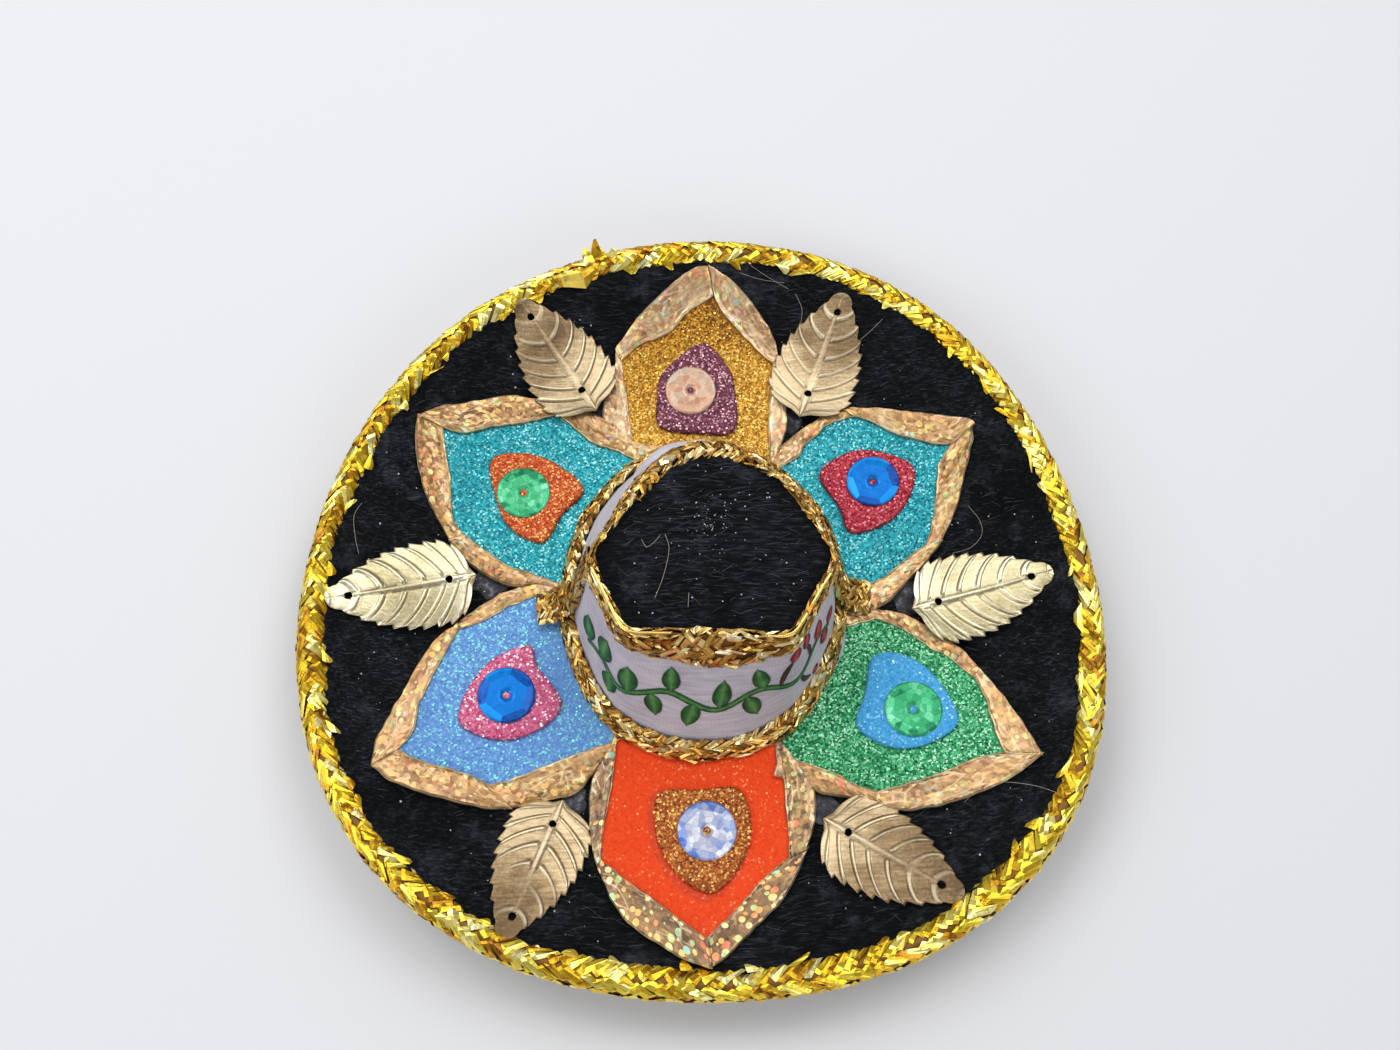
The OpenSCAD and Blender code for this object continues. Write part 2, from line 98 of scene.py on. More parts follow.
WORLD_COLOUR, WORLD_STRENGTH = (0.9, 0.94, 1.0, 1), 0.28
world = bpy.data.worlds.new("studio")
bpy.context.scene.world = world
world.use_nodes = True
world.node_tree.nodes["Background"].inputs["Color"].default_value = WORLD_COLOUR
world.node_tree.nodes["Background"].inputs["Strength"].default_value = WORLD_STRENGTH
print("soft boxes:", ", ".join(SOFT_BOXES))

# %% [markdown]
# ## A way to write finishes
# Every finish is a small graph of nodes. Linking them one by one hides what a finish does, so a
# Wire stands for one socket and takes part in ordinary sums, and a Finish has one method that adds
# any other node. A few more methods name the nodes that many finishes share.


# %% Wires
class Wire:
    """One output of a finish's nodes, which works in Python sums."""

    def __init__(self, finish, socket):
        self.finish, self.socket = finish, socket

    def sum(self, operation, first, second):
        return self.finish.node("ShaderNodeMath", {"operation": operation}, {0: first, 1: second})

    def __add__(self, other):
        return self.sum("ADD", self, other)

    def __radd__(self, other):
        return self.sum("ADD", other, self)

    def __sub__(self, other):
        return self.sum("SUBTRACT", self, other)

    def __rsub__(self, other):
        return self.sum("SUBTRACT", other, self)

    def __mul__(self, other):
        return self.sum("MULTIPLY", self, other)

    def __rmul__(self, other):
        return self.sum("MULTIPLY", other, self)

    def __gt__(self, other):
        return self.sum("GREATER_THAN", self, other)

    def __lt__(self, other):
        return self.sum("LESS_THAN", self, other)


# %% Finishes
class Finish:
    """A material under construction. What varies goes to shade(), the rest to its sockets."""

    def __init__(self, name, **constants):
        self.name = name
        self.material = bpy.data.materials.new(name)
        self.material.use_nodes = True
        self.tree = self.material.node_tree
        self.shader = self.tree.nodes["Principled BSDF"]
        self.shade(**constants)
        print("finish:", name)

    def node(self, kind, settings=None, inputs=None, out=0):
        made = self.tree.nodes.new(kind)
        for key, value in (settings or {}).items():
            if key == "stops":
                elements = made.color_ramp.elements
                for i, (position, colour) in enumerate(value):
                    stop = elements[i] if i < len(elements) else elements.new(position)
                    stop.position, stop.color = position, (*colour, 1)
            else:
                setattr(made, key, value)
        for key, value in (inputs or {}).items():
            self.feed(made.inputs[key], value)
        return Wire(self, made.outputs[out])

    def feed(self, socket, value):
        if isinstance(value, Wire):
            self.tree.links.new(value.socket, socket)
        elif socket.type == "RGBA" and len(value) == 3:
            socket.default_value = (*value, 1)
        else:
            socket.default_value = value

    def shade(self, **values):
        for key, value in values.items():
            self.feed(self.shader.inputs[key.replace("_", " ")], value)
        return self

    def object_place(self):
        return self.node("ShaderNodeTexCoord", out="Object")

    def own_uv(self):
        return self.node("ShaderNodeTexCoord", out="UV")

    def stored(self, name):
        """A number that the mesh stores at each vertex."""
        return self.node("ShaderNodeAttribute", {"attribute_name": name}, None, "Fac")

    def stretched(self, place, scale, turn=0.0):
        inputs = {"Vector": place, "Scale": scale, "Rotation": (0, 0, turn)}
        return self.node("ShaderNodeMapping", None, inputs)

    def noise(self, place, scale=1.0, detail=3.0, roughness=0.55):
        inputs = {"Vector": place, "Scale": scale, "Detail": detail, "Roughness": roughness}
        return self.node("ShaderNodeTexNoise", None, inputs)

    def cells(self, place, scale, out="Color", spread=1.0):
        inputs = {"Vector": place, "Scale": scale, "Randomness": spread}
        return self.node("ShaderNodeTexVoronoi", None, inputs, out)

    def cell_edges(self, place, scale):
        """How far a point is from the border of its cell."""
        inputs = {"Vector": place, "Scale": scale}
        return self.node("ShaderNodeTexVoronoi", {"feature": "DISTANCE_TO_EDGE"}, inputs, "Distance")

    def weave(self, place, scale, wander):
        """Crossing threads, half warp and half weft."""
        inputs = {"Vector": place, "Scale": scale, "Distortion": wander}
        warp = self.node("ShaderNodeTexWave", {"bands_direction": "X"}, inputs, "Fac")
        weft = self.node("ShaderNodeTexWave", {"bands_direction": "Y"}, inputs, "Fac")
        return warp * 0.5 + weft * 0.5

    def channel(self, colour, which):
        return self.node("ShaderNodeSeparateColor", None, {"Color": colour}, which)

    def ramp(self, value, stops):
        return self.node("ShaderNodeValToRGB", {"stops": stops}, {"Fac": value})

    def axis(self, place, which):
        return self.node("ShaderNodeSeparateXYZ", None, {"Vector": place}, which)

    def whole(self, value):
        return self.node("ShaderNodeMath", {"operation": "FLOOR"}, {0: value})

    def chance(self, value):
        """A random share that stays the same for one value."""
        return self.node("ShaderNodeTexWhiteNoise", {"noise_dimensions": "1D"}, {"W": value}, "Value")

    def mix(self, share, first, second):
        return self.node("ShaderNodeMix", {"data_type": "RGBA"}, {0: share, 6: first, 7: second}, 2)

    def bump(self, height, strength, distance=0.0003):
        inputs = {"Height": height, "Strength": strength, "Distance": distance}
        return self.node("ShaderNodeBump", None, inputs)

    def vectors(self, operation, first, second=(0, 0, 0)):
        return self.node("ShaderNodeVectorMath", {"operation": operation}, {0: first, 1: second})

    def tilted_normal(self, colour, amount):
        """The surface's normal, turned at random by a cell's own colour."""
        facing = self.node("ShaderNodeNewGeometry", out="Normal")
        turned = self.vectors("SUBTRACT", colour, (0.5, 0.5, 0.5))
        turned = self.vectors("MULTIPLY", turned, (amount, amount, amount))
        return self.vectors("NORMALIZE", self.vectors("ADD", facing, turned))


# %% Colours
def rgb(*levels):
    """A colour written as it looks, 0 to 255, as the shader wants it."""
    return tuple(c / 255 / 12.92 if c <= 10 else ((c / 255 + 0.055) / 1.055) ** 2.4 for c in levels)


def shaded(colour, factor):
    return tuple(min(1.0, c * factor) for c in colour)


print("middle grey is", round(rgb(119, 119, 119)[0], 2), "to the shader")

# %% [markdown]
# ## The floor
# The hat lies on a plain pale sheet. One flat face is enough for that. It is kept apart from the hat's
# body, because it isn't part of the hat.

# %% Lay the floor
FLOOR_HALF = 3
floor_finish = Finish("floor", Base_Color=rgb(226, 226, 228), Roughness=0.9)
floor = bpy.data.objects.new("floor", bpy.data.meshes.new("floor"))
bm = bmesh.new()
bmesh.ops.create_grid(bm, x_segments=1, y_segments=1, size=FLOOR_HALF)
bm.to_mesh(floor.data)
bm.free()
floor.data.materials.append(floor_finish.material)
bpy.context.scene.collection.objects.link(floor)
print("floor:", 2 * FLOOR_HALF, "m across")

# %% [markdown]
# ## The hat's own measures
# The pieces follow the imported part, whose brim is a shallow dish with a hand-cut wavy rim and whose
# crown is a leaning oval. Those few driving sizes are repeated here, in millimetres.

# %% Measures of the brim
RIM_R, FLAT_R, EDGE_R, RISE, HEAD_R = 72.0, 31.0, 68.6, 9.5, 22.5
# The waves in the hand-cut rim: depth, count and turn in degrees
RIM_WAVES = [(1.2, 3, 36), (0.8, 4, 45)]
VELVET_TOP, PETAL_TOP, RIBBON_TOP, PATCH_TOP = 2.8, 4.0, 4.3, 5.0
BRAID_HALF, EDGE_INSET, EDGE_TILT = 2.86, 3.31, math.radians(26.8)
UP = Vector((0, 0, 1))


def mix(first, second, share):
    return first + (second - first) * share


def dish(r):
    return RISE * (max(r - FLAT_R, 0) / (EDGE_R - FLAT_R)) ** 2


def dish_slope(r):
    return 2 * RISE * max(r - FLAT_R, 0) / (EDGE_R - FLAT_R) ** 2


def rim_at(turn, inset):
    waves = sum(depth * math.cos(count * (turn + math.radians(by))) for depth, count, by in RIM_WAVES)
    return RIM_R - inset + waves


def on_brim(x, y, up):
    return Vector((x, y, dish(math.hypot(x, y)) + up))


def polar(r, turn):
    return Vector((r * math.cos(turn), r * math.sin(turn), 0))


print("brim height at its edge:", round(dish(EDGE_R), 2), "mm")

# %% Measures of the crown
CROWN_Z, CROWN_H, CROWN_VELVET_Z, BAND_T = 2.8, 25.5, 30.3, 0.5
CROWN_HALF_W, CROWN_HALF_D = 24.1, 29.0
CROWN_FOOT, CROWN_LEAN = Vector((0, -0.7, 0)), Vector((0.8, 1.3, 0))
CROWN_MIDDLE = CROWN_FOOT + CROWN_LEAN
# Straight sides of the crown's top: the angle each one faces and its distance from the middle
CROWN_SIDES = [(-93, 17.1), (-31, 19.2), (28, 15.1), (60, 14.2), (104, 14.3), (141, 13.5), (154, 16.1),
               (204, 19.4)]
CROWN_CORNER = 22


def crown_foot_r(turn):
    far = math.hypot(CROWN_HALF_D * math.cos(turn), CROWN_HALF_W * math.sin(turn))
    return CROWN_HALF_W * CROWN_HALF_D / far


def crown_top_r(turn):
    pulls = [max(math.cos(turn - math.radians(faces)), 0) / far for faces, far in CROWN_SIDES]
    return sum(pull ** CROWN_CORNER for pull in pulls) ** (-1 / CROWN_CORNER)


def crown_point(turn, out, z):
    share = (z - CROWN_Z) / CROWN_H
    r = mix(crown_foot_r(turn), crown_top_r(turn), share) + out
    return CROWN_FOOT + CROWN_LEAN * share + UP * z + polar(r, turn)


print("crown's top, front to back:", round(crown_top_r(math.pi / 2) + crown_top_r(-math.pi / 2), 1), "mm")

# %% [markdown]
# ## Helpers for pieces
# Most pieces here are thin sheets or strips. Each could be drawn vertex by vertex, but one helper does
# for all of them: it makes a flat grid with bmesh and moves each corner to where a function of its two
# shares says. Another closes such a grid into a ring or a disc by merging its meeting edges.


# %% Bend grids
def bent_grid(along, across, place, uv=lambda u, v: (u, v), into=None, mark=None):
    """A grid of along x across squares, its corners moved to place(u, v) in millimetres."""
    bm = into or bmesh.new()
    layer = bm.loops.layers.uv.verify()
    marks = bm.verts.layers.float.get("mark") or bm.verts.layers.float.new("mark") if mark else None
    made = bmesh.ops.create_grid(bm, x_segments=along, y_segments=across, size=0.5)["verts"]
    shares = {v: (v.co.x + 0.5, v.co.y + 0.5) for v in made}
    for v in made:
        v.co = place(*shares[v]) * MM
        if mark:
            v[marks] = mark(*shares[v])
    for face in {f for v in made for f in v.link_faces}:
        for loop in face.loops:
            loop[layer].uv = uv(*shares[loop.vert])
    return bm


def merged(bm, near=0.00001):
    bmesh.ops.remove_doubles(bm, verts=bm.verts, dist=near)
    bmesh.ops.dissolve_degenerate(bm, edges=bm.edges, dist=near)
    bmesh.ops.recalc_face_normals(bm, faces=bm.faces)
    return bm


def facing_up(bm):
    """Turns an open sheet so that its upper side is its outside."""
    bm.normal_update()
    if sum(f.normal.z * f.calc_area() for f in bm.faces) < 0:
        bmesh.ops.reverse_faces(bm, faces=bm.faces)
    return bm


print("grids can be bent")


# %% Finish pieces
def piece(name, bm, finish, stands_for=(), smooth=True, thickness=None, crease=None):
    """Makes the grid an object with its finish, attached to the hat's root, and hides the imported parts it
    stands for.
    """
    mesh = bpy.data.meshes.new(name)
    bm.to_mesh(mesh)
    bm.free()
    mesh.polygons.foreach_set("use_smooth", [smooth] * len(mesh.polygons))
    if crease is not None:
        mesh.set_sharp_from_angle(angle=math.radians(crease))
    made = bpy.data.objects.new(name, mesh)
    bpy.context.scene.collection.objects.link(made)
    mesh.materials.append(finish.material)
    if thickness:
        wall = made.modifiers.new("thickness", "SOLIDIFY")
        wall.thickness, wall.offset = thickness * MM, -1
    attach(made, "root")
    if stands_for:
        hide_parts(*stands_for)
    print(f"{name}: {len(mesh.polygons)} faces")
    return made


print("pieces can be finished")

# %% [markdown]
# ## Black velvet
# The brim's velvet is black with a short nap brushed from side to side, so it shows as fine level
# streaks with a soft grey sheen. Hair particles would be lost in the exported model, so the nap is
# streaked noise in the bump and in the colour, where its lighter streaks are painted sheen, with a sheen
# layer over it.


# %% The velvet's finish
def velvet_finish():
    f = Finish("black_velvet", Roughness=0.95, Sheen_Weight=0.12, Sheen_Roughness=0.35)
    f.shade(Sheen_Tint=(0.5, 0.52, 0.6, 1), Specular_IOR_Level=0.1)
    place = f.object_place()
    streak = f.noise(f.stretched(place, (330, 2600, 2600), 0.06), detail=6, roughness=0.72)
    patch = f.noise(place, 75, 3)
    # The lighter streaks that the nap's noise gives the colour are painted sheen; the dust over them is real.
    tone = f.ramp(streak * 0.75 + patch * 0.25, [
        (0.4, rgb(6, 7, 9)), (0.51, rgb(16, 18, 21)), (0.59, rgb(38, 42, 47)), (0.7, rgb(80, 86, 94))])
    dust = f.channel(f.ramp(f.noise(place, 130, 7, 0.75), [(0.54, (0, 0, 0)), (0.72, (1, 1, 1))]), "Red")
    dusty = f.mix(dust * streak * 0.38, tone, rgb(120, 122, 134))
    return f.shade(Base_Color=dusty, Normal=f.bump(streak, 0.9, 0.0005))


velvet = velvet_finish()

# %% [markdown]
# ## The brim's cloth
# One round of velvet covers the brim and is tucked under the rim braid, and a round of thin black
# cloth lines its underside. Both are grids bent round the axis: one share goes round the hat, the
# other from the head opening out to the hand-cut edge. A little slow noise keeps them from looking
# turned on a lathe.


# %% Lay the velvet
def brim_round(up, wave, reach):
    def place(u, v):
        turn = u * math.tau
        r = mix(HEAD_R, rim_at(turn, reach), v)
        p = polar(r, turn)
        ripple = wave * noise.noise(Vector((p.x, p.y, up * 9)) * 0.11) * min(1, 6 * v) * min(1, 8 * (1 - v))
        return Vector((p.x, p.y, dish(r) + up + ripple))

    return facing_up(merged(bent_grid(200, 36, place)))


brim_velvet_cloth = piece(
    "brim_velvet_cloth", brim_round(VELVET_TOP, 0.25, EDGE_INSET), velvet, stands_for=["brim_velvet"],
    thickness=0.7)


# %% Lay the lining
def lining_finish():
    f = Finish("lining_cloth", Roughness=0.85, Sheen_Weight=0.1)
    place = f.object_place()
    weave = f.weave(place, 260, 0.6)
    lint = f.noise(place, 900, 4)
    tone = f.ramp(weave * 0.5 + lint * 0.5, [
        (0.25, rgb(12, 12, 13)), (0.7, rgb(40, 40, 43)), (0.9, rgb(80, 80, 84))])
    return f.shade(Base_Color=tone, Normal=f.bump(weave, 0.6, 0.0002))


lining_round = brim_round(0.0, 0.0, EDGE_INSET)
bmesh.ops.reverse_faces(lining_round, faces=lining_round.faces)
brim_lining_cloth = piece(
    "brim_lining_cloth", lining_round, lining_finish(), stands_for=["brim_lining"], thickness=0.45)

# %% [markdown]
# ## Card
# The brim's core and the crown are grey-brown card, seen only inside the crown and at the head
# opening. The CAD shapes are right as they are, so they only get a finish: flecked pulp with a
# slight unevenness.


# %% Finish the card
def card_finish():
    f = Finish("card", Roughness=0.9, Specular_IOR_Level=0.2)
    place = f.object_place()
    pulp = f.noise(f.stretched(place, (500, 500, 1500)), detail=8, roughness=0.7)
    fleck = f.cells(place, 900, "Distance")
    tone = f.ramp(pulp, [(0.3, rgb(116, 98, 72)), (0.5, rgb(150, 130, 98)), (0.7, rgb(172, 153, 120))])
    flecked = f.mix((fleck < 0.18) * 0.5, tone, rgb(86, 70, 50))
    return f.shade(Base_Color=flecked, Normal=f.bump(pulp, 0.5, 0.0003))


card = card_finish()
for node in ("brim_board", "crown_wall", "crown_top_board"):
    nodes[node].data.materials.clear()
    nodes[node].data.materials.append(card.material)
    print(node, "is finished as card")

# %% [markdown]
# ## Gold foil
# The braid is plaited from flat strips of crinkled foil. One gold for all of it would look like paint,
# so every strip gets its own tint and brightness from its number in the UV map, partly painted light and
# shade of strips that face the lamps differently, with a fold across it whose two sides are painted
# lighter and darker as light and shade, and fine creases on top.


# %% The foil's finish
def foil_finish(name, tones, roughness):
    f = Finish(name, Metallic=0.9)
    uv, place = f.own_uv(), f.object_place()
    strip = f.whole(f.axis(uv, "X"))
    number = f.chance(strip)
    # The fold's two sides get tones of their own: painted light and shade of a folded strip.
    fold = f.chance(strip + 0.5 + (f.axis(uv, "Y") > number * 0.5 + 0.25) * 0.3)
    crease = f.channel(f.cells(place, 800), "Red")
    fine = f.noise(place, 2200, 3)
    return f.shade(Base_Color=f.ramp(number * 0.6 + fold * 0.22 + crease * 0.18, tones),
                   Roughness=crease * 0.15 + roughness, Normal=f.bump(fine, 0.25, 0.0002))


rim_gold = foil_finish("rim_braid_gold", [
    (0.1, rgb(146, 96, 36)), (0.22, rgb(196, 140, 34)), (0.38, rgb(232, 190, 44)), (0.6, rgb(248, 220, 74)),
    (0.86, rgb(255, 246, 170))], 0.24)
crown_gold = foil_finish("crown_braid_gold", [
    (0.12, rgb(124, 80, 32)), (0.32, rgb(186, 136, 60)), (0.52, rgb(224, 180, 94)),
    (0.7, rgb(246, 214, 140)), (0.86, rgb(255, 246, 206))], 0.26)
# The cores' dark brown is painted shade, for the gaps between the floats.
core_shade_brown = Finish("braid_core", Base_Color=rgb(116, 78, 28), Metallic=0.5, Roughness=0.5)
rim_shade_brown = Finish("rim_core", Base_Color=rgb(124, 82, 22), Metallic=0.5, Roughness=0.45)

# %% [markdown]
# ## Plaits
# Each strip goes over two others and then under two, so what shows is a herringbone of short floats
# with shaded gaps between them. Whole strips led over and under look lumpy at this size, so each float is
# laid by itself: a flat rhombus whose ends dip under its neighbours, over a core painted dark brown as
# the shade in those gaps. Angles, sizes and heights vary as they do in hand-plaited foil, and the floats
# are flat shaded, so that each catches the light by itself.

# %% Lay floats over a core
# Along a float: share of its length, and how far it dips there
FLOAT = [(0.0, 0.2), (0.14, 0.0), (0.86, 0.0), (1.0, 0.2)]
# How far ahead and aside the skin's slope is felt
FEEL_AHEAD, FEEL_ASIDE = 0.3, 0.1


def thatch(skin, length, across, columns, size, lean, seed, loose=1.0, dense=1.0):
    """Herringbone columns of floats over skin(s, w), which is length by across; size is of one float."""
    chance = random.Random(seed)
    bm = bmesh.new()
    count = round(dense * length * math.sin(lean) / size[1])
    ahead, aside = FEEL_AHEAD / length, FEEL_ASIDE / across
    for number in range(columns * count):
        column, k = divmod(number, count)
        way = 1 if column % 2 else -1
        s0 = (k + 0.5 * (column % 2) + loose * chance.uniform(-0.2, 0.2)) / count
        w0 = (column + 0.5 + loose * chance.uniform(-0.15, 0.15)) / columns
        turn = way * lean + loose * chance.gauss(0, 0.12)
        end = -way * lean + loose * chance.gauss(0, 0.12)
        far = size[0] * chance.uniform(0.8, 1.15)
        near = way * size[1] / math.sin(2 * lean) * chance.uniform(0.82, 1.08)
        up = loose * chance.uniform(0, 0.14)
        bends = [loose * chance.uniform(-0.06, 0.06) for _ in range(12)]
        ridge = chance.uniform(-0.08, 0.18)

        def place(u, v):
            at = round(u * 3)
            share, dip = FLOAT[at]
            a, b = (share - 0.5) * far, (0.5 - v) * near
            s = s0 + (a * math.cos(turn) + b * math.cos(end)) / length
            w = w0 + (a * math.sin(turn) + b * math.sin(end)) / across
            run = skin(s + ahead, w) - skin(s - ahead, w)
            wide = skin(s, w + aside) - skin(s, w - aside)
            lift = up - dip + bends[3 * at + round(2 * v)] + ridge * (v == 0.5)
            return skin(s, w) + run.cross(wide).normalized() * lift

        bent_grid(3, 2, place, uv=lambda u, v: (number + 0.2 + 0.6 * u, v), into=bm)
    return bm


def core(path, around, steps, shrink, closed=True):
    """A plain tube under the floats, so that no gap shows through."""
    def place(u, v):
        middle, side, up = path(u % 1.0 if closed else u)
        return middle + (side * math.cos(v * math.tau) + up * math.sin(v * math.tau)) * shrink

    return merged(bent_grid(steps, around, place))


print("a float has", len(FLOAT), "rows of corners")


# %% What floats lie on
def on_tube(path):
    """All round a squarish tube that path(s) gives as its middle and two half axes."""
    def squared(value):
        return math.copysign(abs(value) ** 0.8, value)

    def skin(s, w):
        middle, side, up = path(s % 1.0)
        return middle + side * squared(math.cos(w * math.tau)) + up * squared(math.sin(w * math.tau))

    return skin


def on_band(path, low, high, closed=True):
    """The outside of a flat band, from a share of its height to another; past 0 and 1 it turns inwards."""
    def skin(s, w):
        middle, side, up = path(s % 1.0 if closed else min(max(s, 0.0), 1.0))
        want = 2 * mix(low, high, w) - 1
        y = min(1, max(-1, want))
        return middle + side * ((1 - y * y) ** 0.3 - 3 * abs(want - y)) + up * y

    return skin


print("floats go round a tube or over a band")

# %% [markdown]
# ## The rim braid
# A thick braid is bound over the brim's edge. It follows the rim's wave at the brim's own slant, so the
# plait lies all round a squarish tube along that line, and slow noise makes it swell and shrink as a
# braid sewn by hand does.


# %% Plait the rim braid
def uneven(turn, seed, size):
    """A hand-made unevenness that joins up after a full turn."""
    p = polar(3.2, turn)
    at = Vector((p.x, p.y, seed))
    return size * noise.noise(at) + size * 0.6 * noise.noise(at * 2.7)


def rim_path(s):
    turn = s * math.tau
    out, r = polar(1, turn), rim_at(turn, BRAID_HALF)
    lean = out * math.cos(EDGE_TILT) + UP * math.sin(EDGE_TILT)
    stand = UP * math.cos(EDGE_TILT) - out * math.sin(EDGE_TILT)
    swell = 1 + uneven(turn, 4, 0.2)
    middle = out * (r + 0.25 - 2.0 * (swell - 1)) + UP * (dish(r) + VELVET_TOP / 2)
    return middle, lean * 2.25 * swell, stand * 2.0 * (1 + uneven(turn, 8, 0.12))


piece("rim_core", core(rim_path, 12, 160, 0.9), rim_shade_brown)
rim_floats = thatch(
    on_tube(rim_path), length=437, across=13.6, columns=5, size=(4.3, 1.6), lean=0.6, seed=3, loose=1.15,
    dense=1.5)
piece("rim_plait", rim_floats, rim_gold, stands_for=["rim_braid"], smooth=False)

# %% [markdown]
# ## Loose ends of foil
# Along the braid's inner side short ends of foil hang over the velvet, a tuft stands up at the back and
# one long fold has come loose behind the upper left leaf. The plait can't give these, so each is a small
# grid bent from a root in the braid.

# %% Leave loose ends
FLAPS, FIRST_FLAP = 44, 9000
# The tuft's ends: angle round the hat, reach and rise
TUFT = [(1.852, 4.6, 2.8), (1.866, 3.9, 1.6), (1.878, 2.4, 2.6), (1.832, 3.4, 1.6), (1.805, 2.2, 1.8)]


def flap(bm, root, reach, aside, lift, width, lean, number):
    """A pointed scrap of foil from a root along reach; lift is how far its middle bulges up."""
    def place(u, v):
        crumple = 0.12 * noise.noise(root * 1.7 + Vector((u * 3, v * 3, 0)))
        side = (v - 0.5 + lean * u) * width * (1 - 0.75 * u * u)
        return root + reach * u + aside * side + UP * (lift * 4 * u * (1 - u) + crumple)

    bent_grid(3, 2, place, uv=lambda u, v: (FIRST_FLAP + number + 0.2 + 0.6 * u, v), into=bm)


chance = random.Random(31)
flaps = bmesh.new()
for number in range(FLAPS):
    turn = math.tau * (number + chance.uniform(0, 0.9)) / FLAPS
    middle, lean, stand = rim_path(turn / math.tau)
    root = middle - lean * 0.55 + stand * 0.92
    end = polar(root.to_2d().length - chance.uniform(0.8, 1.6), turn + chance.gauss(0, 0.02))
    end.z = dish(end.length) + VELVET_TOP + 0.3
    flap(flaps, root, end - root, polar(1, turn + math.pi / 2), chance.uniform(0.1, 0.3),
         chance.uniform(1.6, 3.2), chance.uniform(-0.4, 0.4), number)
for turn, far, up in TUFT:
    middle, lean, stand = rim_path(turn / math.tau)
    flap(flaps, middle + stand * 0.6, polar(far, turn + chance.gauss(0, 0.3)) + UP * up,
         polar(1, turn + math.pi / 2), 0.3, chance.uniform(2.2, 3.2), 0.2, far * 10)
piece("rim_flaps", facing_up(flaps), rim_gold, smooth=False, thickness=0.05)

# %% Hang the loose fold
FOLD_START, FOLD_END, FOLD_ROOT_R, FOLD_EDGE_R, FOLD_HANG = 2.03, 1.85, 69.4, 68.4, 3.1


def loose_fold_place(u, v):
    """A long fold of foil, rooted in the braid, that opens towards its second half."""
    wide = min(1, 1.5 * u) * min(1, 3 * (1 - u))
    p = polar(mix(FOLD_ROOT_R, FOLD_EDGE_R - FOLD_HANG * wide, v), mix(FOLD_START, FOLD_END, u))
    bulge = (0.95 * math.sin(math.pi * v) + 0.3 * v) * wide
    crumple = 0.2 * noise.noise(Vector((u * 6, v * 2, 3)))
    return on_brim(p.x, p.y, VELVET_TOP + 0.4 + bulge + crumple)


loose_gold = foil_finish("loose_gold", [
    (0.2, rgb(112, 76, 34)), (0.45, rgb(176, 130, 44)), (0.65, rgb(222, 178, 52)),
    (0.9, rgb(250, 224, 110))], 0.3)
loose_fold = bent_grid(12, 3, loose_fold_place, uv=lambda u, v: (5.1 + u * 2.8, v))
piece("rim_fold", facing_up(loose_fold), loose_gold, smooth=False, thickness=0.06)

# %% [markdown]
# ## The crown's band
# White cloth goes round the crown in two pieces that meet under the side strips. A cloth simulation
# could drape it, but it is glued to the card, so it is a bent grid with a few soft puckers, and a woven
# finish that follows the cloth's own UV map.


# %% The band's finish
def band_finish():
    f = Finish("white_cloth", Roughness=0.85, Sheen_Weight=0.1, Specular_IOR_Level=0.2)
    uv = f.own_uv()
    weave = f.weave(uv, 480, 1.5)
    slub = f.noise(f.stretched(uv, (180, 1400, 1)), detail=4)
    stain = f.noise(uv, 90, 3)
    tone = f.ramp(slub * 0.55 + stain * 0.45, [
        (0.3, rgb(168, 162, 172)), (0.5, rgb(200, 196, 207)), (0.7, rgb(220, 217, 226))])
    return f.shade(Base_Color=tone, Normal=f.bump(weave * 0.6 + slub * 0.4, 0.5, 0.0002))


white_cloth = band_finish()

# %% Wrap the band
BAND_LOW, BAND_HIGH, BAND_FLAT = 4.7, 28.2, (27 * MM, 72 * MM)


def bump_at(turn, middle, wide):
    """A soft hump in a value that goes round the crown; angles in degrees."""
    return math.exp(-(((math.degrees(turn) - middle + 180) % 360 - 180) / wide) ** 2)


def band_point(turn, z, up):
    """A point on the band, which puckers, bulges at its left front and stands off at its right and back."""
    pucker = 0.3 * noise.noise(Vector((turn * 5, z * 0.12, 2))) * min(1, 4 * abs(math.sin(turn + 0.02)))
    bulge = 0.8 * bump_at(turn, -122, 20) * max(0, 1 - (z - CROWN_Z) / 14)
    flare = 2.5 * bump_at(turn, -26, 20) * max(0, 1 - (z - BAND_LOW) / 1.6) ** 1.4
    flare += 3.3 * bump_at(turn, 108, 44) * math.exp(-(((z - 23.8) / 2.6) ** 2))
    return crown_point(turn, BAND_T + 0.1 + pucker + bulge + flare + up, z)


def band_half(start, end):
    def place(u, v):
        return band_point(math.radians(mix(start, end, u)), mix(BAND_LOW, BAND_HIGH, v), 0)

    return merged(bent_grid(160, 26, place, uv=lambda u, v: (u * 0.075, v * 0.027)))


def outwards(bm):
    """Turns an open wall round the crown so that its outside faces away from the axis."""
    bm.normal_update()
    if sum(f.normal.xy.dot(f.calc_center_median().xy) for f in bm.faces) < 0:
        bmesh.ops.reverse_faces(bm, faces=bm.faces)
    return bm


for side, start, end in (("front", 186, 356), ("back", -4, 186)):
    cloth = piece(f"band_cloth_{side}", outwards(band_half(start, end)), white_cloth,
                  stands_for=[f"crown_band_{side}"], thickness=0.4)

# %% [markdown]
# ## A painted vine
# The front of the band is hand painted. The cloth's finish could hold a drawing, but an edge in a
# finish is hard to steer, so each brush stroke is a thin strip on the cloth, led through a few points
# and as wide as the brush was pressed. Points are given in degrees from the middle of the front and in
# millimetres of height.


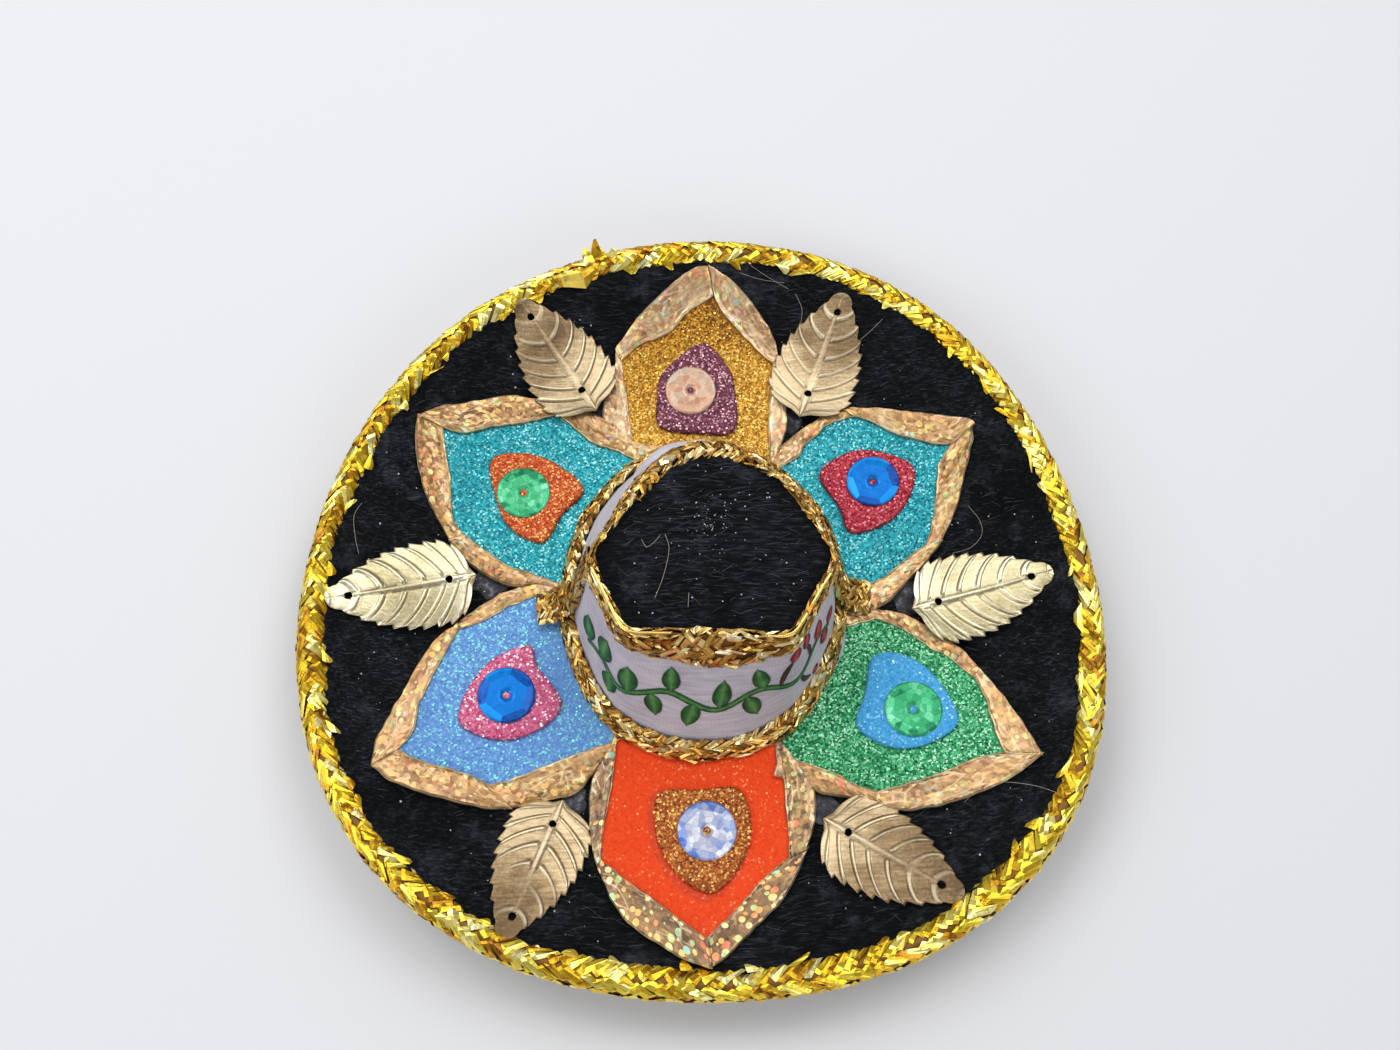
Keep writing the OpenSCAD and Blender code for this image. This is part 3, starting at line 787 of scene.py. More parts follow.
# %% The paint's finish
def paint_finish(name, dark, body, pale):
    f = Finish(name, Roughness=0.55, Specular_IOR_Level=0.3)
    side = f.axis(f.own_uv(), "Y")
    edge = f.node("ShaderNodeMath", {"operation": "ABSOLUTE"}, {0: side - 0.5}) * 2.0
    wash = f.noise(f.object_place(), 520, 4)
    return f.shade(Base_Color=f.ramp(edge * 0.4 + wash * 0.6, [(0.28, pale), (0.48, body), (0.68, dark)]))


green_paint = paint_finish("green_paint", rgb(18, 62, 36), rgb(44, 108, 58), rgb(92, 150, 84))
brown_paint = paint_finish("brown_paint", rgb(30, 16, 16), rgb(56, 32, 30), rgb(98, 70, 66))
red_paint = paint_finish("red_paint", rgb(110, 14, 32), rgb(160, 30, 52), rgb(196, 84, 100))


# %% Lines through a few points
def rounded(points, closed, per_span):
    """A smooth line through a few points."""
    count, line = len(points), []
    spans = count if closed else count - 1
    for i in range(spans):
        p0, p1, p2, p3 = (points[k % count] if closed else points[min(max(k, 0), count - 1)]
                          for k in range(i - 1, i + 3))
        for j in range(per_span):
            t = j / per_span
            line.append(
                0.5 * (2 * p1 + (p2 - p0) * t + (2 * p0 - 5 * p1 + 4 * p2 - p3) * t * t
                       + (3 * p1 - p0 - 3 * p2 + p3) * t ** 3)
            )
    return line if closed else line + [points[-1]]


def along(line, share, closed=False):
    """The point at a share of the way along a line of evenly spaced points."""
    spans = len(line) if closed else len(line) - 1
    at = share * spans
    i = min(int(at), spans - 1)
    return line[i].lerp(line[(i + 1) % len(line)], at - i)


print("lines can be rounded")

# %% Draw with the brush
BAND_R = 23
DEGREE = math.radians(1) * BAND_R


def stroke(bm, points, tip=0.12, up=0.16):
    """A brush stroke through (degrees, height, width) points; tip is its width at its ends."""
    line = rounded([Vector(p) for p in points], False, 6)

    def place(u, v):
        a, z, width = along(line, u)
        ahead, behind = along(line, min(u + 0.03, 1)), along(line, max(u - 0.03, 0))
        run = Vector(((ahead.x - behind.x) * DEGREE, ahead.y - behind.y)).normalized()
        press = width * min(1, tip + (1 - tip) * 5 * min(u, 1 - u))
        off = (v - 0.5) * press
        return band_point(math.radians(a - run.y * off / DEGREE + 270), z + run.x * off, up)

    bent_grid(6 * (len(points) - 1) + 6, 4, place, into=bm)


def painted(name, finish, strokes, **how):
    bm = bmesh.new()
    for points in strokes:
        stroke(bm, points, **how)
    piece(name, outwards(bm), finish)


def leaf_stroke(a, z, to_a, to_z, width):
    """One press of the brush from a leaf's stalk to its tip."""
    belly = [(0.35, 0.3, width), (0.7, 0.66, width * 0.9)]
    return [(a, z, 0.3), *((mix(a, to_a, s), mix(z, to_z, t), w) for s, t, w in belly), (to_a, to_z, 0.2)]


print("a degree round the band is", round(DEGREE, 2), "mm")

# %% Paint the vine
STEM = [(-62, 12.0), (-50, 14.6), (-36, 12.8), (-18, 16.6), (2, 13.6), (20, 16.8), (38, 13.8), (52, 16.8),
        (64, 14.2)]
# Each leaf and bud: where it starts, where it ends, and its width
LEAF_STROKES = [
    (-60, 12.6, -67, 17.6, 4.0), (-51, 14.4, -50, 20.6, 4.2), (-44, 13.8, -42, 8.6, 3.4),
    (-34, 13.0, -37, 19.6, 3.4), (-25, 15.2, -21, 10.2, 2.8), (-17, 16.6, -19, 22.4, 3.0),
    (-7, 15.2, -9, 9.6, 2.8), (3, 13.8, 5, 20.4, 3.0), (14, 15.8, 18, 10.4, 2.8), (22, 16.6, 19, 22.2, 2.8)]
BUD_STROKES = [
    (35, 20.8, 38, 24.0, 2.6), (44, 20.0, 45, 23.6, 2.4), (52, 16.8, 57, 20.8, 2.8),
    (57, 16.0, 60, 11.0, 2.8), (63, 14.6, 69, 17.4, 2.6), (47, 9.8, 50, 8.2, 1.8)]
TWIGS = [
    [(28, 15.6, 0.6), (31, 18.8, 1.1), (35, 21.6, 0.5)],
    [(46, 15.6, 0.5), (46, 18.4, 1.0), (44, 20.6, 0.7)],
    [(39, 13.8, 0.5), (41, 11.2, 1.0), (45, 9.6, 0.6)]]
painted("vine_stem", green_paint, [[(a, z, 1.2) for a, z in STEM]], tip=0.6)
painted("vine_leaves", green_paint, [leaf_stroke(*p) for p in LEAF_STROKES])
painted("vine_twigs", brown_paint, TWIGS)
painted("vine_buds", red_paint, [leaf_stroke(*p) for p in BUD_STROKES])

# %% [markdown]
# ## The crown's top
# The velvet on top has a many-cornered outline, because the braid round it was laid in straight
# stretches. One flat face would fill it, but cloth is never flat, so it is a disc of rings shrunk from
# that outline, a little domed and uneven.


def crown_velvet_place(u, v):
    edge = crown_point(u * math.tau, BAND_T + 0.2, CROWN_VELVET_Z)
    p = (CROWN_MIDDLE + UP * CROWN_VELVET_Z).lerp(edge, v)
    wave = 0.3 * noise.noise(Vector((p.x * 0.16, p.y * 0.16, 5)))
    return Vector((p.x, p.y, CROWN_VELVET_Z + 0.2 * (1 - v * v) + wave * (1 - v)))


crown_top_cloth = piece(
    "crown_top_cloth", facing_up(merged(bent_grid(128, 18, crown_velvet_place))), velvet,
    stands_for=["crown_top_velvet"], thickness=0.6)

# %% [markdown]
# ## The crown's braids
# A thin braid of darker gold goes round the crown's foot and a flat one round its top edge, where two
# stretches of it are folded over. Two more strips cover the band's seams and end in cut tails on the
# petals. They are plaited as the rim's braid is, but only on the outside of a band, because the back is
# glued to the crown.


# %% Plait the foot braid
def foot_path(s):
    turn = s * math.tau
    out = polar(1, turn)
    full = (0.9 + 0.1 * max(0, -math.sin(turn))) * (1 + uneven(turn, 6, 0.12))
    raised = bump_at(turn, -28, 22)
    push = BAND_T + (1.45 - 0.4 * raised) * full + 0.8 * bump_at(turn, -122, 20)
    middle = crown_point(turn, push, RIBBON_TOP + 1.35 * full + 0.7 * raised)
    return middle, (out * 0.7 + UP * 0.71) * 0.7 * full, (UP * 1.35 - out * (1.4 - 0.3 * raised)) * full


piece("foot_core", core(foot_path, 10, 110, 0.85), core_shade_brown)
foot_floats = thatch(
    on_band(foot_path, -0.04, 1.04), length=172, across=4.6, columns=4, size=(2.5, 0.8), lean=0.5, seed=5,
    loose=1.6, dense=1.3)
piece("foot_plait", foot_floats, crown_gold, stands_for=["crown_base_braid"], smooth=False)

# %% Plait the top braid
TOP_BRAID_LOW, TOP_BRAID_HIGH = 24.8, 30.9


def top_path(s):
    turn = s * math.tau
    thick = 0.34 + 0.8 * max(bump_at(turn, 95, 30), 0.7 * bump_at(turn, 140, 22))
    start = TOP_BRAID_LOW - 1.5 * bump_at(turn, -88, 24)
    start += 1.2 * max(bump_at(turn, -150, 26), bump_at(turn, -30, 26))
    low, high = (crown_point(turn, BAND_T + thick + 0.1, z) for z in (start, TOP_BRAID_HIGH))
    middle, stand = (low + high) / 2, (high - low) / 2
    out = polar(1, turn)
    return middle, (out - out.project(stand)).normalized() * thick, stand * (1 + uneven(turn, 7, 0.05))


piece("top_core", core(top_path, 12, 140, 0.85), core_shade_brown)
top_floats = thatch(
    on_band(top_path, -0.03, 1.2), length=118, across=7.9, columns=6, size=(2.6, 0.85), lean=0.5, seed=8,
    loose=3.0, dense=1.6)
piece("top_plait", top_floats, crown_gold, stands_for=["crown_top_braid"], smooth=False)


# %% Fold the top braid's edge
def folded_edge(bm, start, end):
    """The braid's upper edge where it is folded over flat, between two angles in degrees."""
    def place(u, v):
        middle, side, stand = top_path(math.radians(mix(start, end, u)) / math.tau % 1.0)
        tall = (0.24 + 0.16 * noise.noise(Vector((u * 23, start, 0)))) * min(1, 6 * u, 6 * (1 - u))
        rise = stand.length * 1.02 + tall * (v - 0.3)
        return middle + stand.normalized() * rise + side.normalized() * (0.7 - 0.5 * v)

    bent_grid(40, 2, place, into=bm)


# The folded edge is a pale gold: a painted highlight along the fold.
fold_highlight_gold = Finish("fold_highlight_gold", Base_Color=rgb(250, 212, 120), Metallic=0.8, Roughness=0.25)
bm = bmesh.new()
for start, end in ((-164, -112), (-66, -22)):
    folded_edge(bm, start, end)
piece("top_fold", outwards(bm), fold_highlight_gold, thickness=0.08)

# %% Plait the side strips
# Down a strip: how far it stands off the band, and its height
STRIP_LINE = [(0.7, 26.0), (0.75, 18.0), (1.2, 10.5), (2.4, 7.9), (4.0, 5.9), (6.6, RIBBON_TOP + 0.75)]


def strip_path_at(turn):
    line = rounded([crown_point(turn, BAND_T + off, z) for off, z in STRIP_LINE], False, 8)

    def path(s):
        middle = along(line, s)
        run = (along(line, min(s + 0.02, 1)) - along(line, max(s - 0.02, 0))).normalized()
        wide = Vector((-math.sin(turn), math.cos(turn), 0))
        return middle, run.cross(wide).normalized() * 0.4, wide * mix(2.5, 3.3, s)

    return path


for side, turn, seed in (("left", 186, 11), ("right", -4, 12)):
    path = strip_path_at(math.radians(turn))
    piece(f"strap_core_{side}", core(path, 10, 30, 0.85, closed=False), core_shade_brown)
    strip_floats = thatch(
        on_band(path, -0.02, 1.02, closed=False), length=28, across=6.2, columns=5, size=(2.8, 0.9),
        lean=0.46, seed=seed, loose=2.0, dense=1.4)
    piece(f"strap_plait_{side}", strip_floats, crown_gold, stands_for=[f"crown_strap_{side}"], smooth=False)

# %% [markdown]
# ## Glitter foam
# The petals are craft foam with a glued layer of glitter. Modelled flakes would take millions of faces
# and plain noise would look like sand. Each flake lies at its own angle, so the finish gives every small
# cell its own tilted normal and its own painted brightness, from shade up to a glint, as such a flake
# catches the lamps.

# %% The glitter's finish
# Width of a flake in millimetres, and where the worn foam begins, in metres from front to back
FLAKE_WIDE, WORN_FROM = 0.32, 0.046


def glitter_finish(name, dark, body, light, spark, share=0.07, rough=0.34, metal=0.5, tilt=0.7,
                   gloss=0.45, worn=0):
    """Foam with glued glitter; worn is how fast the flakes thin out behind WORN_FROM."""
    f = Finish(name, Metallic=metal, Specular_IOR_Level=gloss)
    place = f.object_place()
    flake = f.cells(place, 1 / (FLAKE_WIDE * MM))
    pick = f.channel(flake, "Red")
    cloud = f.noise(place, 110, 3)
    shown = pick * 0.86 + cloud * 0.22 - 0.04
    if worn:
        behind = f.axis(place, "Y") - WORN_FROM
        shown = shown - behind.sum("MAXIMUM", behind, 0.0) * worn
    # Each flake's brightness, from the dark stop up to the spark, is painted light, shade and glint.
    tone = f.ramp(shown, [
        (0.0, dark), (0.34, body), (0.9 - share * 1.6, light), (1.0 - share, spark),
        (1.0, shaded(spark, 1.2))])
    return f.shade(Base_Color=tone, Roughness=f.channel(flake, "Green") * 0.3 + rough,
                   Normal=f.tilted_normal(flake, tilt))


petal_finishes = {
    12: glitter_finish("gold_glitter", rgb(92, 54, 14), rgb(180, 118, 24), rgb(226, 168, 48),
                       rgb(255, 232, 136), share=0.1, worn=22),
    2: glitter_finish("teal_glitter", rgb(4, 84, 98), rgb(16, 144, 156), rgb(52, 186, 196),
                      rgb(190, 248, 250)),
    4: glitter_finish("green_glitter", rgb(6, 56, 32), rgb(28, 134, 80), rgb(84, 188, 126),
                      rgb(196, 248, 214), share=0.1),
    6: glitter_finish("orange_glitter", rgb(222, 58, 16), rgb(236, 70, 22), rgb(240, 80, 30),
                      rgb(255, 160, 110), share=0.02, rough=0.5, metal=0.0, tilt=0.2, gloss=0.15),
    8: glitter_finish("blue_glitter", rgb(72, 118, 190), rgb(92, 142, 206), rgb(114, 164, 220),
                      rgb(150, 238, 240), share=0.09, rough=0.36, metal=0.3, tilt=0.55),
}
petal_finishes[10] = petal_finishes[2]

# %% [markdown]
# ## Where the ribbons lie
# Each petal is bound in a flat metallic ribbon in four stretches, folded at the shoulders and the tip,
# where one lies over the next. Turning one petal six times would make them alike, but each was folded
# by hand, so a stretch is given by a few points along its outer edge and a few along its inner edge.

# %% Draw the ribbons' edges
HOURS = [12, 2, 4, 6, 8, 10]
FOOT_TUCK = 4.0
# For each petal, from the crown round its left side to the tip and back: outer edge, inner edge
STRETCHES = {
    12: [
        ([(-13.4, 28.7), (-18.0, 34.1), (-18.9, 38.2), (-17.7, 42.3), (-16.4, 46.8), (-16.1, 50.2)],
         [(-12.1, 28.1), (-13.2, 33.5), (-13.8, 39.2), (-14.5, 44.3), (-14.7, 47.9)]),
        ([(-16.2, 49.9), (-11.8, 56.1), (-6.3, 61.4), (-0.3, 65.6), (2.9, 66.0)],
         [(-14.9, 47.3), (-11.2, 50.7), (-5.2, 53.2), (-1.5, 57.0), (3.8, 60.1)]),
        ([(2.9, 65.9), (6.7, 63.9), (10.5, 60.1), (14.3, 54.7), (16.1, 50.7), (16.3, 47.8)],
         [(3.2, 64.8), (4.0, 60.0), (5.5, 56.9), (8.8, 53.0), (12.1, 49.3), (15.3, 46.2)]),
        ([(16.3, 48.7), (16.7, 44.2), (17.6, 37.5), (17.6, 33.4), (15.6, 28.0)],
         [(15.1, 46.7), (15.3, 43.7), (14.5, 39.7), (13.8, 33.5), (13.8, 27.5)]),
    ],
    2: [
        ([(14.3, 26.1), (15.5, 28.6), (19.7, 32.1), (23.9, 34.7), (28.5, 36.3), (31.9, 36.3)],
         [(15.7, 24.3), (19.6, 26.7), (20.8, 28.9), (23.5, 31.1), (26.2, 33.4), (31.0, 34.3)]),
        ([(28.2, 36.4), (35.8, 35.8), (42.3, 34.2), (49.6, 32.2), (52.2, 31.3), (52.9, 30.0)],
         [(30.2, 34.6), (33.8, 33.1), (37.5, 30.5), (41.7, 28.6), (47.9, 26.6), (51.8, 29.2)]),
        ([(52.9, 30.6), (52.3, 26.1), (50.6, 20.7), (48.4, 14.0), (45.8, 9.1), (44.7, 7.2)],
         [(48.3, 26.4), (46.1, 23.7), (45.3, 20.3), (44.2, 14.0), (42.9, 9.5), (41.6, 6.5)]),
        ([(45.4, 8.0), (41.7, 3.7), (38.2, 0.5), (34.7, -2.9), (32.4, -4.4)],
         [(42.2, 7.4), (37.9, 4.7), (33.8, 1.5), (29.9, -0.4), (28.1, -2.4)]),
    ],
    4: [
        ([(28.2, -4.9), (32.0, -4.8), (36.8, -5.9), (40.7, -8.4), (43.9, -11.2), (46.5, -13.6),
          (48.6, -17.2)],
         [(29.7, -7.2), (31.3, -6.8), (34.5, -8.1), (37.3, -9.8), (40.6, -12.8), (43.3, -14.5),
          (47.0, -18.6)]),
        ([(48.1, -16.5), (51.0, -21.2), (53.4, -26.3), (55.1, -30.7), (55.8, -33.6)],
         [(46.7, -17.4), (48.4, -22.1), (48.8, -26.1), (49.4, -30.4), (50.0, -33.0)]),
        ([(56.0, -33.2), (52.0, -36.0), (47.5, -38.2), (41.9, -40.0), (36.3, -41.1), (31.4, -41.2),
          (28.0, -39.7)],
         [(49.7, -32.5), (44.9, -33.2), (40.3, -34.9), (34.0, -36.6), (28.0, -38.0)]),
        ([(29.6, -40.5), (23.9, -38.8), (18.3, -37.5), (15.7, -34.1), (12.5, -30.2)],
         [(28.6, -37.9), (24.5, -36.4), (22.4, -34.8), (18.0, -32.9), (14.0, -31.4), (11.8, -29.3)]),
    ],
    6: [
        ([(-16.6, -27.0), (-19.1, -31.7), (-20.6, -35.3), (-20.7, -40.9), (-20.1, -45.9), (-19.0, -49.6)],
         [(-16.0, -27.3), (-16.6, -33.5), (-17.4, -38.6), (-18.3, -43.6), (-18.5, -48.5)]),
        ([(-19.2, -48.9), (-16.5, -54.6), (-13.3, -58.4), (-9.0, -61.2), (-5.3, -63.4), (-0.9, -64.9)],
         [(-18.6, -47.6), (-14.8, -50.7), (-9.4, -54.6), (-4.6, -58.2), (-1.2, -60.6)]),
        ([(-0.8, -64.6), (1.4, -63.3), (5.4, -59.8), (10.6, -55.4), (13.9, -50.8), (16.1, -46.5)],
         [(-2.9, -61.5), (0.6, -58.4), (4.2, -55.3), (7.9, -51.6), (12.8, -48.0)]),
        ([(15.5, -47.4), (17.5, -42.5), (18.0, -38.5), (17.3, -36.1), (14.5, -31.1), (12.1, -27.8)],
         [(12.5, -48.4), (12.7, -43.5), (12.6, -38.9), (12.6, -35.4), (11.7, -32.7), (11.6, -28.0)]),
    ],
    8: [
        ([(-28.2, 2.0), (-30.4, 1.8), (-34.8, 1.0), (-39.1, -1.1), (-42.7, -3.8), (-45.4, -6.3)],
         [(-28.0, -0.1), (-30.7, -0.7), (-35.6, -2.7), (-39.8, -5.3), (-44.2, -7.1)]),
        ([(-44.8, -5.9), (-48.1, -8.8), (-50.8, -13.4), (-52.8, -18.5), (-54.7, -23.4),
          (-56.1, -27.2), (-56.4, -30.4), (-56.3, -32.3)],
         [(-44.2, -6.7), (-46.2, -11.3), (-48.3, -16.4), (-49.9, -21.3), (-50.4, -26.2), (-52.8, -29.7)]),
        ([(-56.3, -32.2), (-53.4, -34.4), (-48.6, -36.3), (-43.7, -37.7), (-37.9, -39.0), (-33.5, -39.1)],
         [(-52.6, -29.3), (-47.9, -31.3), (-44.0, -32.3), (-39.6, -33.8), (-37.0, -35.5)]),
        ([(-34.9, -39.2), (-29.1, -38.0), (-23.1, -36.6), (-20.3, -33.3), (-16.5, -28.6)],
         [(-37.8, -35.1), (-33.2, -33.8), (-28.2, -31.7), (-22.1, -29.5), (-16.4, -27.7)]),
    ],
    10: [
        ([(-10.4, 30.4), (-13.3, 31.1), (-16.1, 34.2), (-19.5, 36.3), (-24.6, 38.3), (-28.6, 38.8)],
         [(-11.6, 26.1), (-13.3, 27.1), (-16.6, 28.7), (-21.1, 30.6), (-25.1, 34.2), (-27.6, 36.3)]),
        ([(-28.0, 38.7), (-35.8, 39.7), (-41.2, 38.5), (-46.5, 36.9), (-49.1, 36.3), (-53.6, 33.7)],
         [(-26.8, 36.2), (-33.9, 34.1), (-39.4, 32.9), (-44.7, 31.2), (-48.8, 31.7)]),
        ([(-53.6, 34.1), (-53.9, 29.7), (-53.2, 24.2), (-51.7, 18.7), (-49.5, 14.4), (-46.5, 9.0)],
         [(-48.9, 32.3), (-48.2, 27.2), (-47.3, 22.7), (-46.9, 17.6), (-46.2, 13.6), (-43.5, 10.4)]),
        ([(-47.3, 10.0), (-43.5, 5.7), (-39.2, 2.9), (-34.9, 1.4), (-31.2, 1.6), (-26.3, 0.5)],
         [(-44.3, 11.2), (-40.3, 8.2), (-36.5, 5.4), (-33.2, 4.3), (-27.0, 1.7)]),
    ],
}


def drawn_out(points, start, end):
    """A line of a few points, carried on at its start and its end by so many millimetres."""
    first, second, before, last = (Vector(points[k]) for k in (0, 1, -2, -1))
    head = [tuple(first + (first - second).normalized() * start)] if start else []
    tail = [tuple(last + (last - before).normalized() * end)] if end else []
    return head + list(points) + tail


for stretches in STRETCHES.values():
    stretches[0] = tuple(drawn_out(edge, FOOT_TUCK, 0) for edge in stretches[0])
    stretches[3] = tuple(drawn_out(edge, 0, FOOT_TUCK) for edge in stretches[3])
print("ribbon stretches:", sum(len(stretches) for stretches in STRETCHES.values()))

# %% [markdown]
# ## The petals
# Each petal is a flat piece of foam that ends half way under its ribbon and under the foot braid. Its
# outline runs between the ribbon's two edges and closes round the crown, and the petal is a disc of
# rings between its middle and that outline, laid on the dish of the brim.


# %% Lay the foam
def evened(points, count):
    """Points at even distances along a line of a few points, rounded a little."""
    fine = rounded([Vector((x, y, 0)) for x, y in points], False, 8)
    far = [0.0]
    for p, q in zip(fine, fine[1:]):
        far.append(far[-1] + (q - p).length)
    line, k = [], 0
    for i in range(count + 1):
        want = far[-1] * i / count
        while k < len(far) - 2 and far[k + 1] < want:
            k += 1
        line.append(fine[k].lerp(fine[k + 1], (want - far[k]) / max(far[k + 1] - far[k], 1e-9)))
    return line, far[-1]


def foam_disc(line, middle, rings, top, seed, roughen=0.05):
    """A soft disc from a middle to an outline; rings are shares of the way and depths below the top."""
    def place(u, v):
        share, down = rings[round(v * (len(rings) - 1))]
        p = middle.lerp(along(line, u % 1.0, True), share)
        return on_brim(p.x, p.y, top - down + roughen * noise.noise(Vector((p.x, p.y, seed)) * 0.4))

    return facing_up(merged(bent_grid(len(line), len(rings) - 1, place)))


def foam_foot(turn):
    """Where the foam ends at the crown, under the foot braid."""
    p = crown_point(turn, 0.2, PETAL_TOP)
    return Vector((p.x, p.y, 0))


FOAM_RINGS = [(k / 14, 0) for k in range(15)]
for i, hour in enumerate(HOURS):
    line = []
    for outer, inner in STRETCHES[hour]:
        a, b = evened(outer, 12)[0], evened(inner, 12)[0]
        line += [p.lerp(q, 0.55) for p, q in zip(a, b)][1:-1]
    line = [p for p in line if p.length > foam_foot(math.atan2(p.y, p.x)).length]
    right, left = (math.atan2(line[k].y, line[k].x) for k in (-1, 0))
    sweep = (left - right + math.pi) % math.tau - math.pi
    line += [foam_foot(right + sweep * k / 8) for k in range(9)]
    middle = sum(line, Vector()) / len(line)
    piece(f"petal_foam_{hour}", foam_disc(line, middle, FOAM_RINGS, PETAL_TOP, i), petal_finishes[hour],
          stands_for=[f"petal_{hour}"])

# %% [markdown]
# ## The ribbon's finish
# The ribbon is crinkled tan foil with a fine grain, and printed dots that light up in many colours here
# and there. One noise can't give all that, so the finish is built in layers on the ribbon's own UV map:
# a cloudy tan, with the crumpled cells and the planes between long creases painted lighter or darker as
# painted light and shade, grain cells over it, dots whose flashes of colour are painted reflection where
# another noise lets them show, and pale lines along the folds, edges and creases, which are painted
# highlights.


# %% The ribbon's finish
def ribbon_finish(name, tones, shown, speckled, dotted=0.55, front=None):
    """Crinkled ribbon: how rarely its dots light up, its grain's share and its dots' share.

    If front is given, the dots light up mostly where y lies below it."""
    f = Finish(name, Metallic=0.5, Coat_Weight=0.35, Coat_Roughness=0.12)
    uv = f.own_uv()
    cloud = f.noise(uv, 150, 4, 0.6)
    streak = f.noise(f.stretched(uv, (380, 1500, 1), 0.15), detail=5, roughness=0.7)
    fine = f.noise(uv, 1900, 3)
    # The crumpled cells and the planes between long creases each get a brightness of their own: painted light
    # and shade of crinkled foil.
    crumple = f.channel(f.cells(f.stretched(uv, (1, 2.2, 1)), 700), "Red")
    planes = f.axis(uv, "Y") * 1000 + f.noise(f.stretched(uv, (90, 1, 1)), detail=1) * 4.0
    plane = f.chance(f.whole(planes * 0.62) + f.whole(f.axis(uv, "X") * 70) * 0.37)
    tan = f.ramp(cloud * 0.36 + streak * 0.26 + fine * 0.2 + plane * 0.12 + crumple * 0.06, tones)
    region = f.noise(uv, 100, 2)
    speck = f.cells(f.stretched(uv, (1, 1.3, 1), 0.4), 1250)
    grain = f.ramp(f.channel(speck, "Red") * 0.75 + region * 0.3 - 0.03, GRAIN_TONES)
    tan = f.mix((f.channel(speck, "Green") > 0.3) * speckled, tan, grain)
    spots, near = f.cells(uv, 700, spread=0.6), f.cells(uv, 700, "Distance", 0.6)
    hue = f.ramp(region * 1.3 + f.channel(spots, "Green") * 0.5 - 0.4, DOT_TONES)
    # Where a dot flashes colour is painted reflection, as holographic film flashes only at some angles; front
    # moves the flashes forward.
    lit = f.noise(f.stretched(uv, (1, 1, 1), 0.7), 120, 2)
    if front:
        lit = lit + (f.axis(f.object_place(), "Y") < front) * 0.2 - 0.13
    bright = f.channel(spots, "Blue") * 0.24 + lit > shown
    tone = f.mix((near < 0.44) * (bright * dotted + f.channel(spots, "Red") * 0.3), tan, hue)
    # Pale along the folded edges (the stored mark) and along the creases: painted highlight.
    line = f.cell_edges(f.stretched(uv, (0.3, 1, 1), 0.12), 420)
    pale = f.stored("mark") * 0.6 + (line < 0.028) * (region > 0.5) * 0.32
    return f.shade(Base_Color=f.mix(pale, tone, rgb(254, 236, 196)), Roughness=0.5 - streak * 0.3,
                   Normal=f.tilted_normal(speck, 0.22))


GRAIN_TONES = [
    (0.1, rgb(104, 68, 36)), (0.28, rgb(160, 114, 62)), (0.42, rgb(206, 156, 102)),
    (0.54, rgb(164, 122, 88)), (0.66, rgb(228, 188, 106)), (0.8, rgb(198, 140, 112)),
    (0.92, rgb(252, 230, 172))]
DOT_TONES = [
    (0.1, rgb(226, 104, 90)), (0.26, rgb(244, 160, 96)), (0.42, rgb(250, 206, 112)),
    (0.54, rgb(246, 226, 160)), (0.66, rgb(190, 212, 132)), (0.78, rgb(150, 208, 190)),
    (0.9, rgb(226, 160, 168))]
GOLD_TONES = [
    (0.36, rgb(102, 68, 38)), (0.45, rgb(148, 108, 64)), (0.53, rgb(182, 142, 90)),
    (0.63, rgb(232, 200, 140))]
DIM_TONES = [
    (0.36, rgb(58, 40, 28)), (0.46, rgb(98, 72, 48)), (0.54, rgb(134, 102, 64)), (0.64, rgb(204, 164, 100))]
PINK_TONES = [
    (0.36, rgb(124, 90, 60)), (0.45, rgb(174, 134, 96)), (0.53, rgb(206, 170, 132)),
    (0.63, rgb(244, 222, 186))]
ribbon_gold = ribbon_finish("ribbon_gold", GOLD_TONES, 0.61, 0.7)
ribbon_dim = ribbon_finish("ribbon_dim", DIM_TONES, 0.44, 0.3, 0.75, -0.049)
ribbon_pink = ribbon_finish("ribbon_pink", PINK_TONES, 0.56, 0.35)
petal_ribbons = {6: ribbon_dim, 12: ribbon_pink}

# %% [markdown]
# ## Ribbon borders
# A stretch could be a plain strip, but then it would look cut from card. It is a grid bent between its
# two edges, with a rolled outer side, long fine wrinkles and lifted ends where it is folded, and its UV
# map is the ribbon laid flat.

# %% Fold the ribbons
# Across a stretch: share from the foam's edge to the outline, and height above the velvet
SECTION = [(0.0, 1.2), (0.03, 1.54), (0.08, 1.64), (0.14, 1.52), (0.32, 1.58), (0.55, 1.6), (0.8, 1.56),
           (0.94, 1.44), (1.0, 0.98), (1.02, 0.05)]
# Rows of the section where the foil is creased and painted pale, as a highlight
HIGHLIGHT_ROWS = (1, 8)
# How high each of a petal's four stretches lies over its neighbours; petals take the two rows in turn
LAID = [(0.0, 0.16, 0.34, 0.12), (0.14, 0.28, 0.0, 0.2)]


